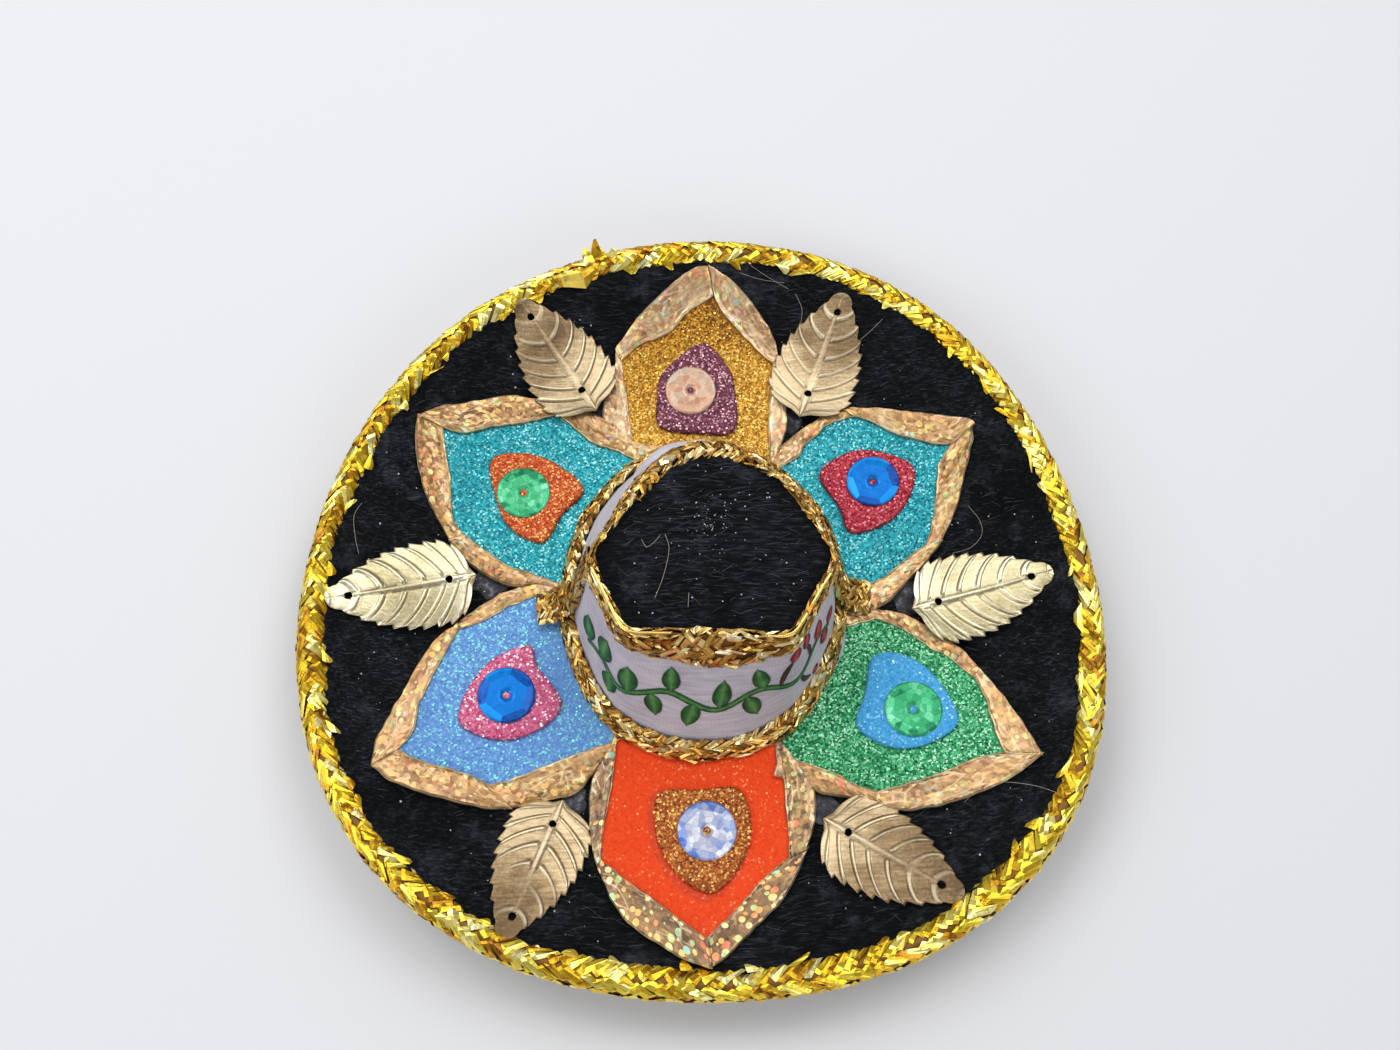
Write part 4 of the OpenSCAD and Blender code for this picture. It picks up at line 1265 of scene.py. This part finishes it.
def stretch_of(bm, outer, inner, lift, seed):
    length = (evened(outer, 8)[1] + evened(inner, 8)[1]) / 2
    steps = max(10, int(length * 1.7))
    a, b = evened(inner, steps)[0], evened(outer, steps)[0]
    last = len(SECTION) - 1

    def wave(x, y, z):
        return noise.noise(Vector((x, y, z)))

    def place(u, v):
        k = round(u * steps)
        share, up = SECTION[round(v * last)]
        at, across = u * length, share * (b[k] - a[k]).length
        wrinkle = 0.16 * wave(at * 0.16, across * 0.9, seed) + 0.09 * wave(at * 0.6, across * 2.4, seed + 9)
        fold = 0.14 * max(0, 1 - min(u, 1 - u) * length / 0.9)
        wobble = Vector((wave(at * 0.5, 0, seed), wave(at * 0.5, 7, seed), 0))
        p = a[k] + (b[k] - a[k]) * share + wobble * 0.22
        return on_brim(p.x, p.y, VELVET_TOP + up + (lift + wrinkle + fold) * min(1, up))

    def laid_flat(u, v):
        k = round(u * steps)
        return (u * length + seed * 37) * MM, SECTION[round(v * last)][0] * (b[k] - a[k]).length * MM

    def pale(u, v):
        return float(round(v * last) in HIGHLIGHT_ROWS)

    bent_grid(steps, last, place, uv=laid_flat, into=bm, mark=pale)


for i, hour in enumerate(HOURS):
    bm = bmesh.new()
    for k, (outer, inner) in enumerate(STRETCHES[hour]):
        stretch_of(bm, outer, inner, LAID[i % 2][k], i * 7 + k)
    piece(f"ribbon_{hour}", facing_up(bm), petal_ribbons.get(hour, ribbon_gold),
          [f"petal_ribbon_{hour}"], thickness=0.1, crease=26)

# %% [markdown]
# ## A turned corner
# At the front petal's right foot the ribbon's cut end is turned up over the foam. It is too small for a
# stretch of its own, so a grid is pinched to a three-cornered scrap that lifts towards its free side.

# %% Turn a corner of ribbon
CORNER = [(12.4, -30.0), (10.9, -34.6), (12.9, -35.2)]


def corner_place(u, v):
    a, b, c = (Vector(p) for p in CORNER)
    p = a.lerp(b.lerp(c, u), v)
    return on_brim(p.x, p.y, RIBBON_TOP + 0.35 + 0.3 * v)


corner = merged(bent_grid(4, 4, corner_place, uv=lambda u, v: (u * 0.003, v * 0.005)))
piece("ribbon_corner", facing_up(corner), ribbon_pink, thickness=0.1)

# %% [markdown]
# ## Glitter patches
# On each petal lies a smaller hand-cut piece of another colour. A flat face with a thickness would have
# a sharp edge, which foam has not. So its outline is a few points rounded into a line, and the piece is
# a disc of rings with a soft edge that turns down to the foam.

# %% Draw the patches' outlines
PATCH_OUTLINES = {
    12: [(1.1, 50.9), (6.2, 46.2), (7.6, 41), (7.2, 32.6), (0.5, 32.0), (-7.4, 33.6), (-8.0, 39.7),
         (-6.6, 45.2)],
    2: [(23.2, 22.6), (28.6, 26.8), (34.5, 26.9), (41.0, 23.3), (40.3, 17.6), (36.0, 12.5), (28.4, 10.4),
        (26.4, 15.8)],
    4: [(30.0, -14.2), (34.4, -13.4), (39.4, -16.4), (43.0, -22.8), (43.0, -27.4), (37.2, -30.4),
        (31.4, -30.3), (26.2, -26.4), (28.2, -20.4)],
    6: [(-8.8, -37.0), (-2.0, -36.6), (4.9, -36.7), (6.6, -43.0), (4.4, -49.4), (-0.6, -53.6),
        (-6.2, -50.4), (-9.4, -44.0)],
    8: [(-31.9, -10.2), (-30.2, -14.2), (-25.8, -20.8), (-29.4, -25.4), (-36.0, -27.4), (-43.0, -24.6),
        (-42.2, -18.2), (-38.0, -12.6)],
    10: [(-40.0, 26.0), (-34.8, 27.9), (-28.2, 26.2), (-22.4, 20.6), (-26.4, 15.4), (-29.9, 9.8),
         (-36.0, 12.6), (-38.7, 18.0)],
}
print("patches:", len(PATCH_OUTLINES))

# %% The patches' finishes
patch_finishes = {
    12: glitter_finish("mauve_glitter", rgb(46, 18, 38), rgb(98, 42, 62), rgb(142, 76, 94),
                       rgb(246, 196, 200)),
    2: glitter_finish("red_glitter", rgb(98, 8, 22), rgb(170, 32, 52), rgb(200, 64, 80), rgb(242, 150, 156)),
    4: glitter_finish("sky_glitter", rgb(50, 142, 204), rgb(64, 158, 216), rgb(82, 172, 224),
                      rgb(160, 230, 250), share=0.04, rough=0.45, metal=0.1, tilt=0.25, gloss=0.25),
    6: glitter_finish("copper_glitter", rgb(92, 34, 6), rgb(150, 70, 20), rgb(200, 116, 44),
                      rgb(255, 210, 130)),
    8: glitter_finish("pink_glitter", rgb(160, 52, 92), rgb(202, 84, 126), rgb(222, 122, 158),
                      rgb(255, 220, 230)),
    10: glitter_finish("rust_glitter", rgb(128, 36, 6), rgb(192, 72, 26), rgb(220, 106, 50),
                       rgb(255, 196, 126)),
}

# %% Cut the patches
# From a patch's middle to its edge: share of the way, and depth below its top
PATCH_RINGS = [(0, 0), (0.3, 0), (0.6, 0), (0.85, 0), (0.93, 0.04), (0.975, 0.16), (1.0, 0.42), (1.0, 1.05)]
for hour, corners in PATCH_OUTLINES.items():
    line = rounded([Vector((x, y, 0)) for x, y in corners], True, 8)
    middle = sum(line, Vector()) / len(line)
    piece(f"patch_foam_{hour}", foam_disc(line, middle, PATCH_RINGS, PATCH_TOP, hour, 0.03),
          patch_finishes[hour], stands_for=[f"patch_{hour}"], crease=50)

# %% [markdown]
# ## A film of glue
# Round the copper patch a darker margin shows, as if the glue under it was pressed out over the orange
# foam. The foam's finish would need the patch's outline to show it, so the film is a thin disc of its
# own, a little larger than the patch and laid on the foam.

# %% Press out the film
FILM_HOUR, FILM_SHIFT, FILM_SIZE, FILM_UP, FILM_SEED = 6, Vector((-0.5, -0.5, 0)), 1.08, 0.06, 3
film = glitter_finish("film", rgb(190, 54, 22), rgb(214, 62, 22), rgb(220, 72, 28), rgb(255, 150, 90),
                      share=0.03, rough=0.5, metal=0.0, tilt=0.2, gloss=0.3)
line = rounded([Vector((x, y, 0)) for x, y in PATCH_OUTLINES[FILM_HOUR]], True, 8)
middle = sum(line, Vector()) / len(line)
margin = [middle + FILM_SHIFT + (p - middle) * FILM_SIZE for p in line]
film_disc = foam_disc(margin, middle, [(k / 4, 0) for k in range(5)], PETAL_TOP + FILM_UP, FILM_SEED)
piece("patch_film_6", film_disc, film)

# %% [markdown]
# ## Loose flakes
# A finish alone stays flat, so some of the glitter is real: small six-sided flakes scattered over the
# foam, each tipped its own way so that a few of them flash.


# %% Scatter flakes
def inside(line, x, y):
    """Whether a point lies inside a closed line."""
    hit = False
    for p, q in zip(line, line[1:] + line[:1]):
        if (p.y > y) != (q.y > y) and x < p.x + (y - p.y) / (q.y - p.y) * (q.x - p.x):
            hit = not hit
    return hit


def tipped(chance, most):
    """A turn of up to so many radians about a random level axis."""
    angle = chance.uniform(0, most)
    axis = Vector((chance.uniform(-1, 1), chance.uniform(-1, 1), 0))
    return Matrix.Rotation(angle, 4, axis)


def scatter(name, line, hole, top, count, colour, seed):
    """Flakes at random places inside a line, but not inside a hole."""
    chance = random.Random(seed)
    low, high = ([pick(p[k] for p in line) for k in (0, 1)] for pick in (min, max))
    bm, done = bmesh.new(), 0
    while done < count:
        x, y = chance.uniform(low[0], high[0]), chance.uniform(low[1], high[1])
        if not inside(line, x, y) or inside(hole, x, y):
            continue
        tip = tipped(chance, 0.5)
        spin = Matrix.Rotation(chance.uniform(0, 6.3), 4, "Z")
        place = Matrix.Translation(on_brim(x, y, top + FLAKE_UP) * MM)
        bmesh.ops.create_circle(bm, cap_ends=True, segments=6, radius=chance.uniform(*FLAKE_R) * MM,
                                matrix=place @ tip @ spin)
        done += 1
    spark = Finish(name.replace("flakes", "spark"), Base_Color=colour, Metallic=0.35, Roughness=0.3)
    piece(name, facing_up(bm), spark, smooth=False)


print("flakes can be scattered")

# %% Strew the flakes
SEQUIN_R, SEQUIN_ROOM = 5.0, 0.3
SEQUINS = {12: (-1.3, 41.0), 2: (33.2, 20.4), 4: (36.1, -24.0), 6: (-0.9, -43.6), 8: (-35.4, -19.5),
           10: (-33.7, 19.6)}
FLAKE_R, FLAKE_UP = (0.15, 0.25), 0.09
# On each petal and its patch: the colour of the flakes and their count
FLAKES = {12: (rgb(246, 206, 90), 360), 2: (rgb(104, 222, 228), 360), 4: (rgb(120, 224, 156), 360),
          6: (rgb(255, 150, 100), 24), 8: (rgb(120, 232, 238), 260), 10: (rgb(104, 222, 228), 360)}
PATCH_FLAKES = {12: (rgb(240, 190, 196), 110), 2: (rgb(236, 124, 130), 110), 4: (rgb(180, 230, 255), 18),
                6: (rgb(255, 196, 100), 110), 8: (rgb(255, 220, 232), 110), 10: (rgb(255, 180, 100), 110)}
for hour in HOURS:
    field = [Vector((x, y, 0)) for _, inner in STRETCHES[hour] for x, y in inner]
    patch = rounded([Vector((x, y, 0)) for x, y in PATCH_OUTLINES[hour]], True, 4)
    room = [Vector((*SEQUINS[hour], 0)) + polar(SEQUIN_R + SEQUIN_ROOM, k * math.tau / 24) for k in range(24)]
    for name, line, hole, top, (colour, count), below, seed in (
            ("flakes", field, patch, PETAL_TOP, FLAKES[hour], petal_finishes[hour], hour),
            ("patch_flakes", patch, room, PATCH_TOP, PATCH_FLAKES[hour], patch_finishes[hour], hour + 50)):
        scatter(f"{name}_{hour}", line, hole, top, count, colour, seed)

# %% [markdown]
# ## Cup sequins
# A cup sequin is pressed from metallic film: a flat six-sided middle with a thread hole, and six flat
# facets that rise to a round rim. A cone would lose the facets, so each ring of the grid is set by
# the distance to the hexagon's nearest side. The UV map numbers the facets for the finish, which paints
# each facet and the middle a brightness of their own, as painted light and shade of the flat faces.


# %% The sequins' finishes
def sequin_finish(name, dark, body, light, flash, ice, lift=0.0, line=(1, 1, 1), size=1150):
    """Pressed film: how much it is mottled like cracked ice, and how much painted light its middle gets.

    line is the colour of the cracks, and a larger size makes them finer."""
    f = Finish(name, Metallic=0.35, Specular_IOR_Level=0.18, Coat_Weight=0.06, Coat_Roughness=0.15)
    place, uv = f.object_place(), f.own_uv()
    middle = f.axis(uv, "Y") < 0.5
    pick = f.chance(f.whole(f.axis(uv, "X") * 6))
    # Each facet and the flat middle get a brightness of their own: painted light and shade of flat faces at
    # different angles.
    facet_light = (pick * 0.45 + (pick > 0.45) * 0.5) * (1 - middle) + middle * 0.6
    shard = f.cells(place, size)
    crack = f.cell_edges(place, size) < 0.06
    grain = f.noise(place, 2600, 3)
    plain = facet_light * 0.8 + grain * 0.2
    iced = f.channel(shard, "Red") * 0.75 + grain * 0.25
    tone = f.ramp(plain * (1 - ice) + iced * ice + middle * lift, [
        (0.15, dark), (0.4, body), (0.62, light), (0.9, flash)])
    return f.shade(Base_Color=f.mix(crack * (ice * 0.6), tone, line), Roughness=grain * 0.3 + 0.2,
                   Normal=f.tilted_normal(shard, 0.16 * ice))


sequin_finishes = {
    "peach": sequin_finish("peach_sequin", rgb(192, 120, 84), rgb(204, 158, 128), rgb(212, 172, 144),
                           rgb(190, 184, 160), 0.6, line=rgb(232, 204, 184), size=760),
    "blue": sequin_finish("blue_sequin", rgb(0, 58, 138), rgb(0, 98, 190), rgb(0, 124, 216),
                          rgb(10, 154, 238), 0.15, line=rgb(60, 150, 236)),
    "green": sequin_finish("green_sequin", rgb(26, 118, 80), rgb(60, 176, 116), rgb(92, 202, 144),
                           rgb(144, 232, 190), 0.6, line=rgb(36, 132, 88), size=900),
    "silver": sequin_finish("silver_sequin", rgb(64, 104, 188), rgb(128, 146, 194), rgb(182, 184, 202),
                            rgb(244, 246, 244), 0.65, 0.1, rgb(150, 158, 184), 900),
}

# %% Press the sequins
HEX_IN, HOLE_R, SEQUIN_UP = 3.3, 0.65, 0.16
CUP_SLOPES = {"peach": 0.07, "blue": 0.2, "green": 0.09, "silver": 0.12}
SEQUIN_KINDS = {12: "peach", 2: "blue", 4: "green", 6: "silver", 8: "blue", 10: "green"}
for hour, (x, y) in SEQUINS.items():
    kind, out = SEQUIN_KINDS[hour], math.hypot(x, y)
    slope = Vector((-x / out * dish_slope(out), -y / out * dish_slope(out), 1)).normalized()
    tilt = UP.rotation_difference(slope).to_matrix()
    spin = random.Random(hour).uniform(0, math.tau)

    def sequin_place(u, v):
        turn = u * math.tau
        square = math.cos((turn % (math.tau / 6)) - math.tau / 12)
        hexagon = HEX_IN / square
        r = mix(HOLE_R, hexagon, 2 * v) if v <= 0.5 else mix(hexagon, SEQUIN_R, 2 * v - 1)
        z = SEQUIN_UP + CUP_SLOPES[kind] * max(0, r * square - HEX_IN)
        return on_brim(x, y, PATCH_TOP) + tilt @ (polar(r, turn + spin) + UP * z)

    cup = bent_grid(72, 6, sequin_place, uv=lambda u, v: (u + hour, v))
    piece(f"sequin_cup_{hour}", facing_up(merged(cup)), sequin_finishes[kind], stands_for=[f"sequin_{hour}"],
          thickness=0.1, crease=4)

# %% [markdown]
# ## Stamped leaves
# The leaves are thin champagne-coloured metal with a raised midrib, raised side veins between fine
# grooves, a toothed edge and two thread holes. Bump alone would leave the veins flat from the side, so
# they are in the mesh: the grid's lines follow the side veins from the midrib to the edge, a few of them
# carry each vein, and the grooves and the veins' tops are stored, so that the finish paints a shadow
# along the grooves and a highlight on the veins. Two copies of the finish, lighter for the leaves that
# mirror the lamps and darker for the others, are painted light and shade too.


# %% The leaves' finishes
def leaf_finish(name, dark, body, light, top, line, roughness, metal, fade):
    """Stamped metal: colours of its veins' tops and its grooves, painted highlight and painted shadow, and
    how much painted shade darkens its tip.
    """
    f = Finish(name, Metallic=metal)
    place = f.object_place()
    grain = f.noise(place, 2200, 4)
    haze = f.noise(place, 85, 4)
    scratch = f.noise(f.stretched(place, (240, 2600, 240), 0.5), detail=4)
    # The tip is darkened: painted shade towards the tip.
    tip_shade = (0.5 - f.stored("far")) * fade
    tone = f.ramp(haze * 0.55 + scratch * 0.25 + grain * 0.2 + tip_shade, [
        (0.38, dark), (0.5, body), (0.62, light)])
    # The raised veins' tops are painted with a highlight, and the grooves with a painted shadow.
    veined = f.mix(f.stored("raised") * (haze * 0.9 + 0.15), tone, top)
    lined = f.mix(f.stored("shaded_groove") * 0.6, veined, line)
    dotted = f.mix((f.cells(place, 1300, "Distance") < 0.15) * 0.35, lined, line)
    return f.shade(Base_Color=dotted, Roughness=grain * 0.2 + roughness, Normal=f.bump(grain, 0.2, 0.0002))


# leaf_foil is painted lighter, for the leaves that mirror the lamps, and its copy darker and a little rougher
# for the others: lit and shaded copies, as painted light.
leaf_foil = leaf_finish(
    "leaf_foil", rgb(178, 162, 120), rgb(212, 200, 160), rgb(234, 226, 196), rgb(244, 238, 214),
    rgb(96, 78, 46), 0.22, 0.9, 0.04)
shaded_dull_leaf = leaf_finish(
    "shaded_dull_leaf", rgb(104, 82, 56), rgb(154, 130, 95), rgb(208, 186, 148), rgb(246, 234, 200),
    rgb(78, 60, 36), 0.3, 0.75, 0.26)

# %% Draw a leaf
LEAF_LEN, LEAF_W, LEAF_BELLY, TIP_R, TEETH, VEINS = 25.0, 16.5, 0.3, 2.3, 10, 7.6


def leaf_half(share):
    """Half the leaf's width at a share of its length from the stalk: blunt there, rounded at the tip."""
    if share < LEAF_BELLY:
        return LEAF_W / 2 * math.sqrt(max(0, 1 - ((LEAF_BELLY - share) / LEAF_BELLY) ** 3))
    drawn = LEAF_W / 2 * math.sin(math.pi / 2 * ((1 - share) / (1 - LEAF_BELLY)) ** 0.8)
    tip = TIP_R ** 2 - ((share - 1) * LEAF_LEN + TIP_R) ** 2
    return max(drawn, math.sqrt(max(0, tip)) if share > 0.91 else 0)


def step_at(value, edge, soft):
    """0 below an edge and 1 above it, with a soft change."""
    t = min(1, max(0, (value - edge) / soft + 0.5))
    return t * t * (3 - 2 * t)


def leaf_point(t, v):
    """Flat place, bow, relief, groove shadow and vein highlight of a point; t goes along the edge and v from
    edge to edge.
    """
    side, across = (1 if v > 0.5 else -1), abs(2 * v - 1)
    share = mix(t * t, t, across ** 1.5)
    tooth = 0.9 * ((t * TEETH) % 1.0) - 0.6
    toothed = across ** 9 * min(1, max(0, 9 * (0.93 - t))) * min(1, 8 * t)
    half = max(0.0, leaf_half(share) + tooth * toothed)
    off = (VEINS * t ** 1.35) % 1.0 - 0.5
    rib_w = mix(0.08, 0.04, t)
    rib = 1 - step_at(across, rib_w, 0.06)
    shown = step_at(across, 1.9 * rib_w, 0.05) * min(1, 9 * (1 - across)) * min(1, 6 * t)
    vein = (1 - step_at(abs(off), 0.1, 0.1)) * shown
    # line is a real groove on the base side of each vein, painted dark as its shadow; edge_line is the same
    # beside the midrib.
    line = math.exp(-(((off + 0.17) / 0.04) ** 2)) * shown
    edge_line = math.exp(-(((across - 1.75 * rib_w) / (0.4 * rib_w)) ** 2)) * min(1, 8 * (1 - t))
    bow = (1 - across ** 1.8) * math.sin(math.pi * min(1, 0.1 + 0.86 * t))
    relief = 0.34 * vein + 0.26 * rib - 0.08 * line - 0.06 * edge_line
    stalk = 0.9 * max(0, 1 - abs(half * across) / 1.5) * max(0, 1 - share / 0.07)
    spot = ((share - 0.5) * LEAF_LEN - stalk, side * half * across)
    return *spot, 0.7 * bow, relief, min(1.0, 0.9 * line + 0.5 * edge_line), max(vein, 0.45 * rib)


print("a leaf is", LEAF_LEN, "by", LEAF_W, "mm")

# %% Stamp the leaves
LEAF_HOLE, HOLE_IN, LEAF_UP, LEAF_LAYERS = 0.72, 3.8, 0.35, ("shaded_groove", "raised", "far")
# Angle round the hat, distance out and lean of each leaf, its size, how far its stalk end is propped up,
# and how weakly its tip was stamped
LEAVES = {
    1: (62, 53.6, 6, 1.04, 2.5, 0.8), 3: (-3, 51.2, 15, 1.0, 2.3, 0.4), 5: (-59, 57.3, 26, 0.95, 1.6, 0.8),
    7: (-121, 57.2, 10, 0.9, 0.7, 1.0), 9: (180, 54.8, 13, 1.0, 2.0, 0.4), 11: (120, 55.3, 4, 1.03, 2.5, 0.9)}
LIT_LEAVES = (3, 9)


def stamped_leaf(turn, out, lean, size, prop, worn):
    turn, lean = math.radians(turn), math.radians(lean)
    centre = polar(out, turn)
    ahead, aside = polar(size, turn + lean), polar(size, turn + lean + math.pi / 2)
    bm = bmesh.new()
    for layer in LEAF_LAYERS:
        bm.verts.layers.float.new(layer)
    shaded_groove, raised, far = (bm.verts.layers.float[layer] for layer in LEAF_LAYERS)
    bmesh.ops.create_grid(bm, x_segments=190, y_segments=48, size=0.5)
    holes = [Vector((s * (LEAF_LEN / 2 - HOLE_IN), 0)) for s in (-1, 1)]
    for v in bm.verts:
        x, y, up, relief, depth, high = leaf_point(v.co.x + 0.5, v.co.y + 0.5)
        weak = 0.45 + 1.3 * x / LEAF_LEN + 0.9 * noise.noise(Vector((x * 0.16, y * 0.16, turn * 5)))
        pressed = 1 - worn * min(1, max(0, weak))
        for hole in holes:
            gap = Vector((x, y)) - hole
            if 0 < abs(gap.length - LEAF_HOLE) < 0.2:
                x, y = hole + gap.normalized() * LEAF_HOLE
        v[shaded_groove], v[raised], v[far] = depth * pressed, high * pressed, x / LEAF_LEN + 0.5
        p = centre + ahead * x + aside * y
        height = VELVET_TOP + LEAF_UP + prop * (0.5 - x / LEAF_LEN) + up + relief * pressed
        v.co = on_brim(p.x, p.y, height) * MM
    cut = []
    for face in bm.faces:
        flat = face.calc_center_median() / MM - centre
        spot = Vector((flat.dot(ahead), flat.dot(aside))) / size ** 2
        if any((spot - hole).length < LEAF_HOLE * 0.97 for hole in holes):
            cut.append(face)
    bmesh.ops.delete(bm, geom=cut, context="FACES")
    return facing_up(merged(bm, 0.000004))


for hour, laid in LEAVES.items():
    piece(f"leaf_foil_{hour}", stamped_leaf(*laid), leaf_foil if hour in LIT_LEAVES else shaded_dull_leaf,
          [f"leaf_{hour}"], thickness=0.16, crease=40)

# %% [markdown]
# ## Lint
# Velvet gathers dust: brushed fibres that all lie one way, pale specks, and glitter that fell from the
# petals. A dusty finish alone looks flat from the side, so fibres are small arched strips, specks are
# small balls and glitter dust is tipped flakes, all laid on the cloth.

# %% Find bare velvet
clear_of = [[Vector((x, y, 0)) for outer, _ in STRETCHES[h] for x, y in outer] for h in HOURS]
LINT_RING, LINT_INSET, LINT_UP = (34, 66), 6.5, 0.12
ON_CROWN, CROWN_SHARE, CROWN_LINT_UP = 0.12, 0.93, 0.3


def on_velvet(chance):
    """A random place on the bare brim velvet or, for the share ON_CROWN, on the crown's top."""
    while True:
        if chance.random() < ON_CROWN:
            turn, share = chance.uniform(0, math.tau), math.sqrt(chance.random()) * CROWN_SHARE
            p = CROWN_MIDDLE.lerp(crown_point(turn, 0, CROWN_VELVET_Z), share)
            return Vector((p.x, p.y, CROWN_VELVET_Z + CROWN_LINT_UP))
        turn, r = chance.uniform(0, math.tau), chance.uniform(*LINT_RING)
        p = polar(r, turn)
        if r < rim_at(turn, LINT_INSET) and not any(inside(line, p.x, p.y) for line in clear_of):
            return on_brim(p.x, p.y, VELVET_TOP + LINT_UP)


print("lint keeps clear of", len(clear_of), "petals")


# %% Lay the lint
def lint_strips(count, seed):
    chance = random.Random(seed)
    bm = bmesh.new()
    for _ in range(count):
        p = on_velvet(chance)
        length, width = chance.uniform(0.8, 2.8), chance.uniform(0.025, 0.05)
        way = chance.gauss(0.05, 0.3)
        arch = chance.uniform(0.02, 0.2)
        run, wide = polar(length, way), polar(width, way + math.pi / 2)

        def place(u, v):
            return p + run * (u - 0.5) + wide * (v - 0.5) + UP * (arch * 4 * u * (1 - u))

        bent_grid(3, 1, place, into=bm)
    return facing_up(bm)


def specks(count, seed):
    chance = random.Random(seed)
    bm = bmesh.new()
    for _ in range(count):
        p = on_velvet(chance)
        bmesh.ops.create_icosphere(bm, subdivisions=1, radius=abs(chance.gauss(0.06, 0.05)) * MM + 0.00003,
                                   matrix=Matrix.Translation(p * MM))
    return bm


GLINT_MIDDLE, GLINT_SPREAD = Vector((0.6, 1.8, CROWN_VELVET_Z + 0.45)), 4.6


def glints(count, seed):
    """Fine glitter dust that fell on the crown's top, thickest behind its middle."""
    chance = random.Random(seed)
    bm = bmesh.new()
    for _ in range(count):
        spread = abs(chance.gauss(0, 1))
        p = GLINT_MIDDLE + polar(GLINT_SPREAD * spread, chance.uniform(0, math.tau))
        place = Matrix.Translation(p * MM) @ tipped(chance, 1.0)
        bmesh.ops.create_circle(bm, cap_ends=True, segments=5, radius=chance.uniform(0.03, 0.11) * MM,
                                matrix=place)
    return facing_up(bm)


lint_finish = Finish("lint", Base_Color=rgb(84, 85, 92), Roughness=0.9, Specular_IOR_Level=0.1)
pale_finish = Finish("pale_lint", Base_Color=rgb(205, 206, 214), Roughness=0.7, Specular_IOR_Level=0.2)
glint_finish = Finish("glint", Base_Color=rgb(216, 218, 230), Metallic=0.6, Roughness=0.3)
piece("lint", lint_strips(1000, 21), lint_finish, smooth=False)
piece("specks", specks(220, 22), pale_finish)
piece("glints", glints(90, 23), glint_finish, smooth=False)

# %% [markdown]
# ## Glue
# Between the petals clear glue ran out on the velvet and dried grey. Each stain is a low mound with an
# uneven outline, because a flat spot in the velvet's finish would lose its gloss.

# %% Leave the glue
# Each stain: its place and its size
GLUE = [(-19.0, 36.7, 2.6), (18.1, 35.1, 2.6), (38.0, -2.4, 3.2), (-39.6, 3.2, 3.4), (-23.7, -37.6, 2.8),
        (19.0, -40.2, 2.8)]


def glue_finish():
    """Clear glue gone grey over black velvet."""
    f = Finish("glue", Specular_IOR_Level=0.4)
    haze = f.noise(f.object_place(), 620, 5, 0.7)
    tone = f.ramp(haze, [(0.4, rgb(10, 10, 12)), (0.54, rgb(46, 48, 56)), (0.68, rgb(122, 124, 136))])
    return f.shade(Base_Color=tone, Roughness=0.7 - haze * 0.5, Normal=f.bump(haze, 0.5, 0.0004))


def glue_spot(bm, x, y, size, seed):
    def place(u, v):
        turn = u * math.tau
        way = polar(1, turn)
        r = size * v * (1 + 0.5 * noise.noise(Vector((way.x * 1.4, way.y * 1.4, seed))))
        p = Vector((x, y, 0)) + way * r
        lump = 0.1 * noise.noise(Vector((p.x, p.y, seed)))
        return on_brim(p.x, p.y, VELVET_TOP + 0.06 + (0.3 + lump) * (1 - v * v))

    bent_grid(22, 5, place, into=bm)


bm = bmesh.new()
for k, spot in enumerate(GLUE):
    glue_spot(bm, *spot, k * 5)
piece("glue", facing_up(merged(bm)), glue_finish())

# %% [markdown]
# ## Hairs
# A few long curled hairs lie on the brim and the crown. Curves would do, but a bent grid closed into a
# thin tube keeps all pieces of one kind.

# %% Lay the hairs
# Each hair by a few points: place on the hat, and height above the cloth
HAIRS = [
    [(9.4, 65.0, 0.2), (13.6, 63.4, 0.5), (18.2, 62.6, 0.2)],
    [(11.5, 66.3, 0.2), (14.5, 64.0, 0.6), (19.0, 61.4, 0.2)],
    [(20.4, 60.4, 0.2), (21.6, 57.2, 0.6), (21.2, 54.0, 0.2)],
    [(47.0, 5.6, 0.2), (50.2, 6.2, 0.6), (52.4, 8.4, 0.7), (52.4, 11.4, 0.5), (50.8, 14.6, 0.2)],
    [(42.5, -40.4, 0.2), (47.2, -37.6, 0.7), (53.4, -38.4, 0.5), (58.2, -40.8, 0.2)],
    [(-62.5, 16.0, 0.2), (-63.5, 13.2, 0.6), (-63.1, 9.3, 0.5), (-62.4, 6.3, 0.2)],
    [(27.5, 47.5, 0.2), (33.4, 50.4, 0.6), (37.4, 53.6, 0.2)],
    [(-33.0, -46.4, 0.2), (-28.8, -48.0, 0.5), (-25.2, -50.4, 0.2)],
]
TOP_HAIRS = [
    [(-8.6, -10.4, 0.3), (-7.2, -7.0, 0.8), (-6.2, -2.4, 0.6), (-6.8, 0.4, 0.3)],
    [(-10.6, -0.4, 0.3), (-9.8, -1.8, 0.5), (-8.6, -1.0, 0.4), (-7.6, 0.2, 0.3)],
    [(-3.4, -12.1, 0.3), (-3.2, -9.7, 0.4)],
]
HAIR_R = 0.032


def hair(bm, points):
    line = rounded(points, False, 8)

    def place(u, v):
        run = (along(line, min(u + 0.03, 1)) - along(line, max(u - 0.03, 0))).normalized()
        side = run.cross(UP).normalized()
        turn = v * math.tau
        return along(line, u) + (side * math.cos(turn) + side.cross(run) * math.sin(turn)) * HAIR_R

    bent_grid(24, 4, place, into=bm)


hair_finish = Finish("hair", Base_Color=rgb(196, 186, 168), Roughness=0.5)
bm = bmesh.new()
for points in HAIRS:
    hair(bm, [on_brim(x, y, VELVET_TOP + up) for x, y, up in points])
for points in TOP_HAIRS:
    hair(bm, [Vector((x, y, CROWN_VELVET_Z + up)) for x, y, up in points])
piece("hairs", merged(bm, 0.000001), hair_finish)
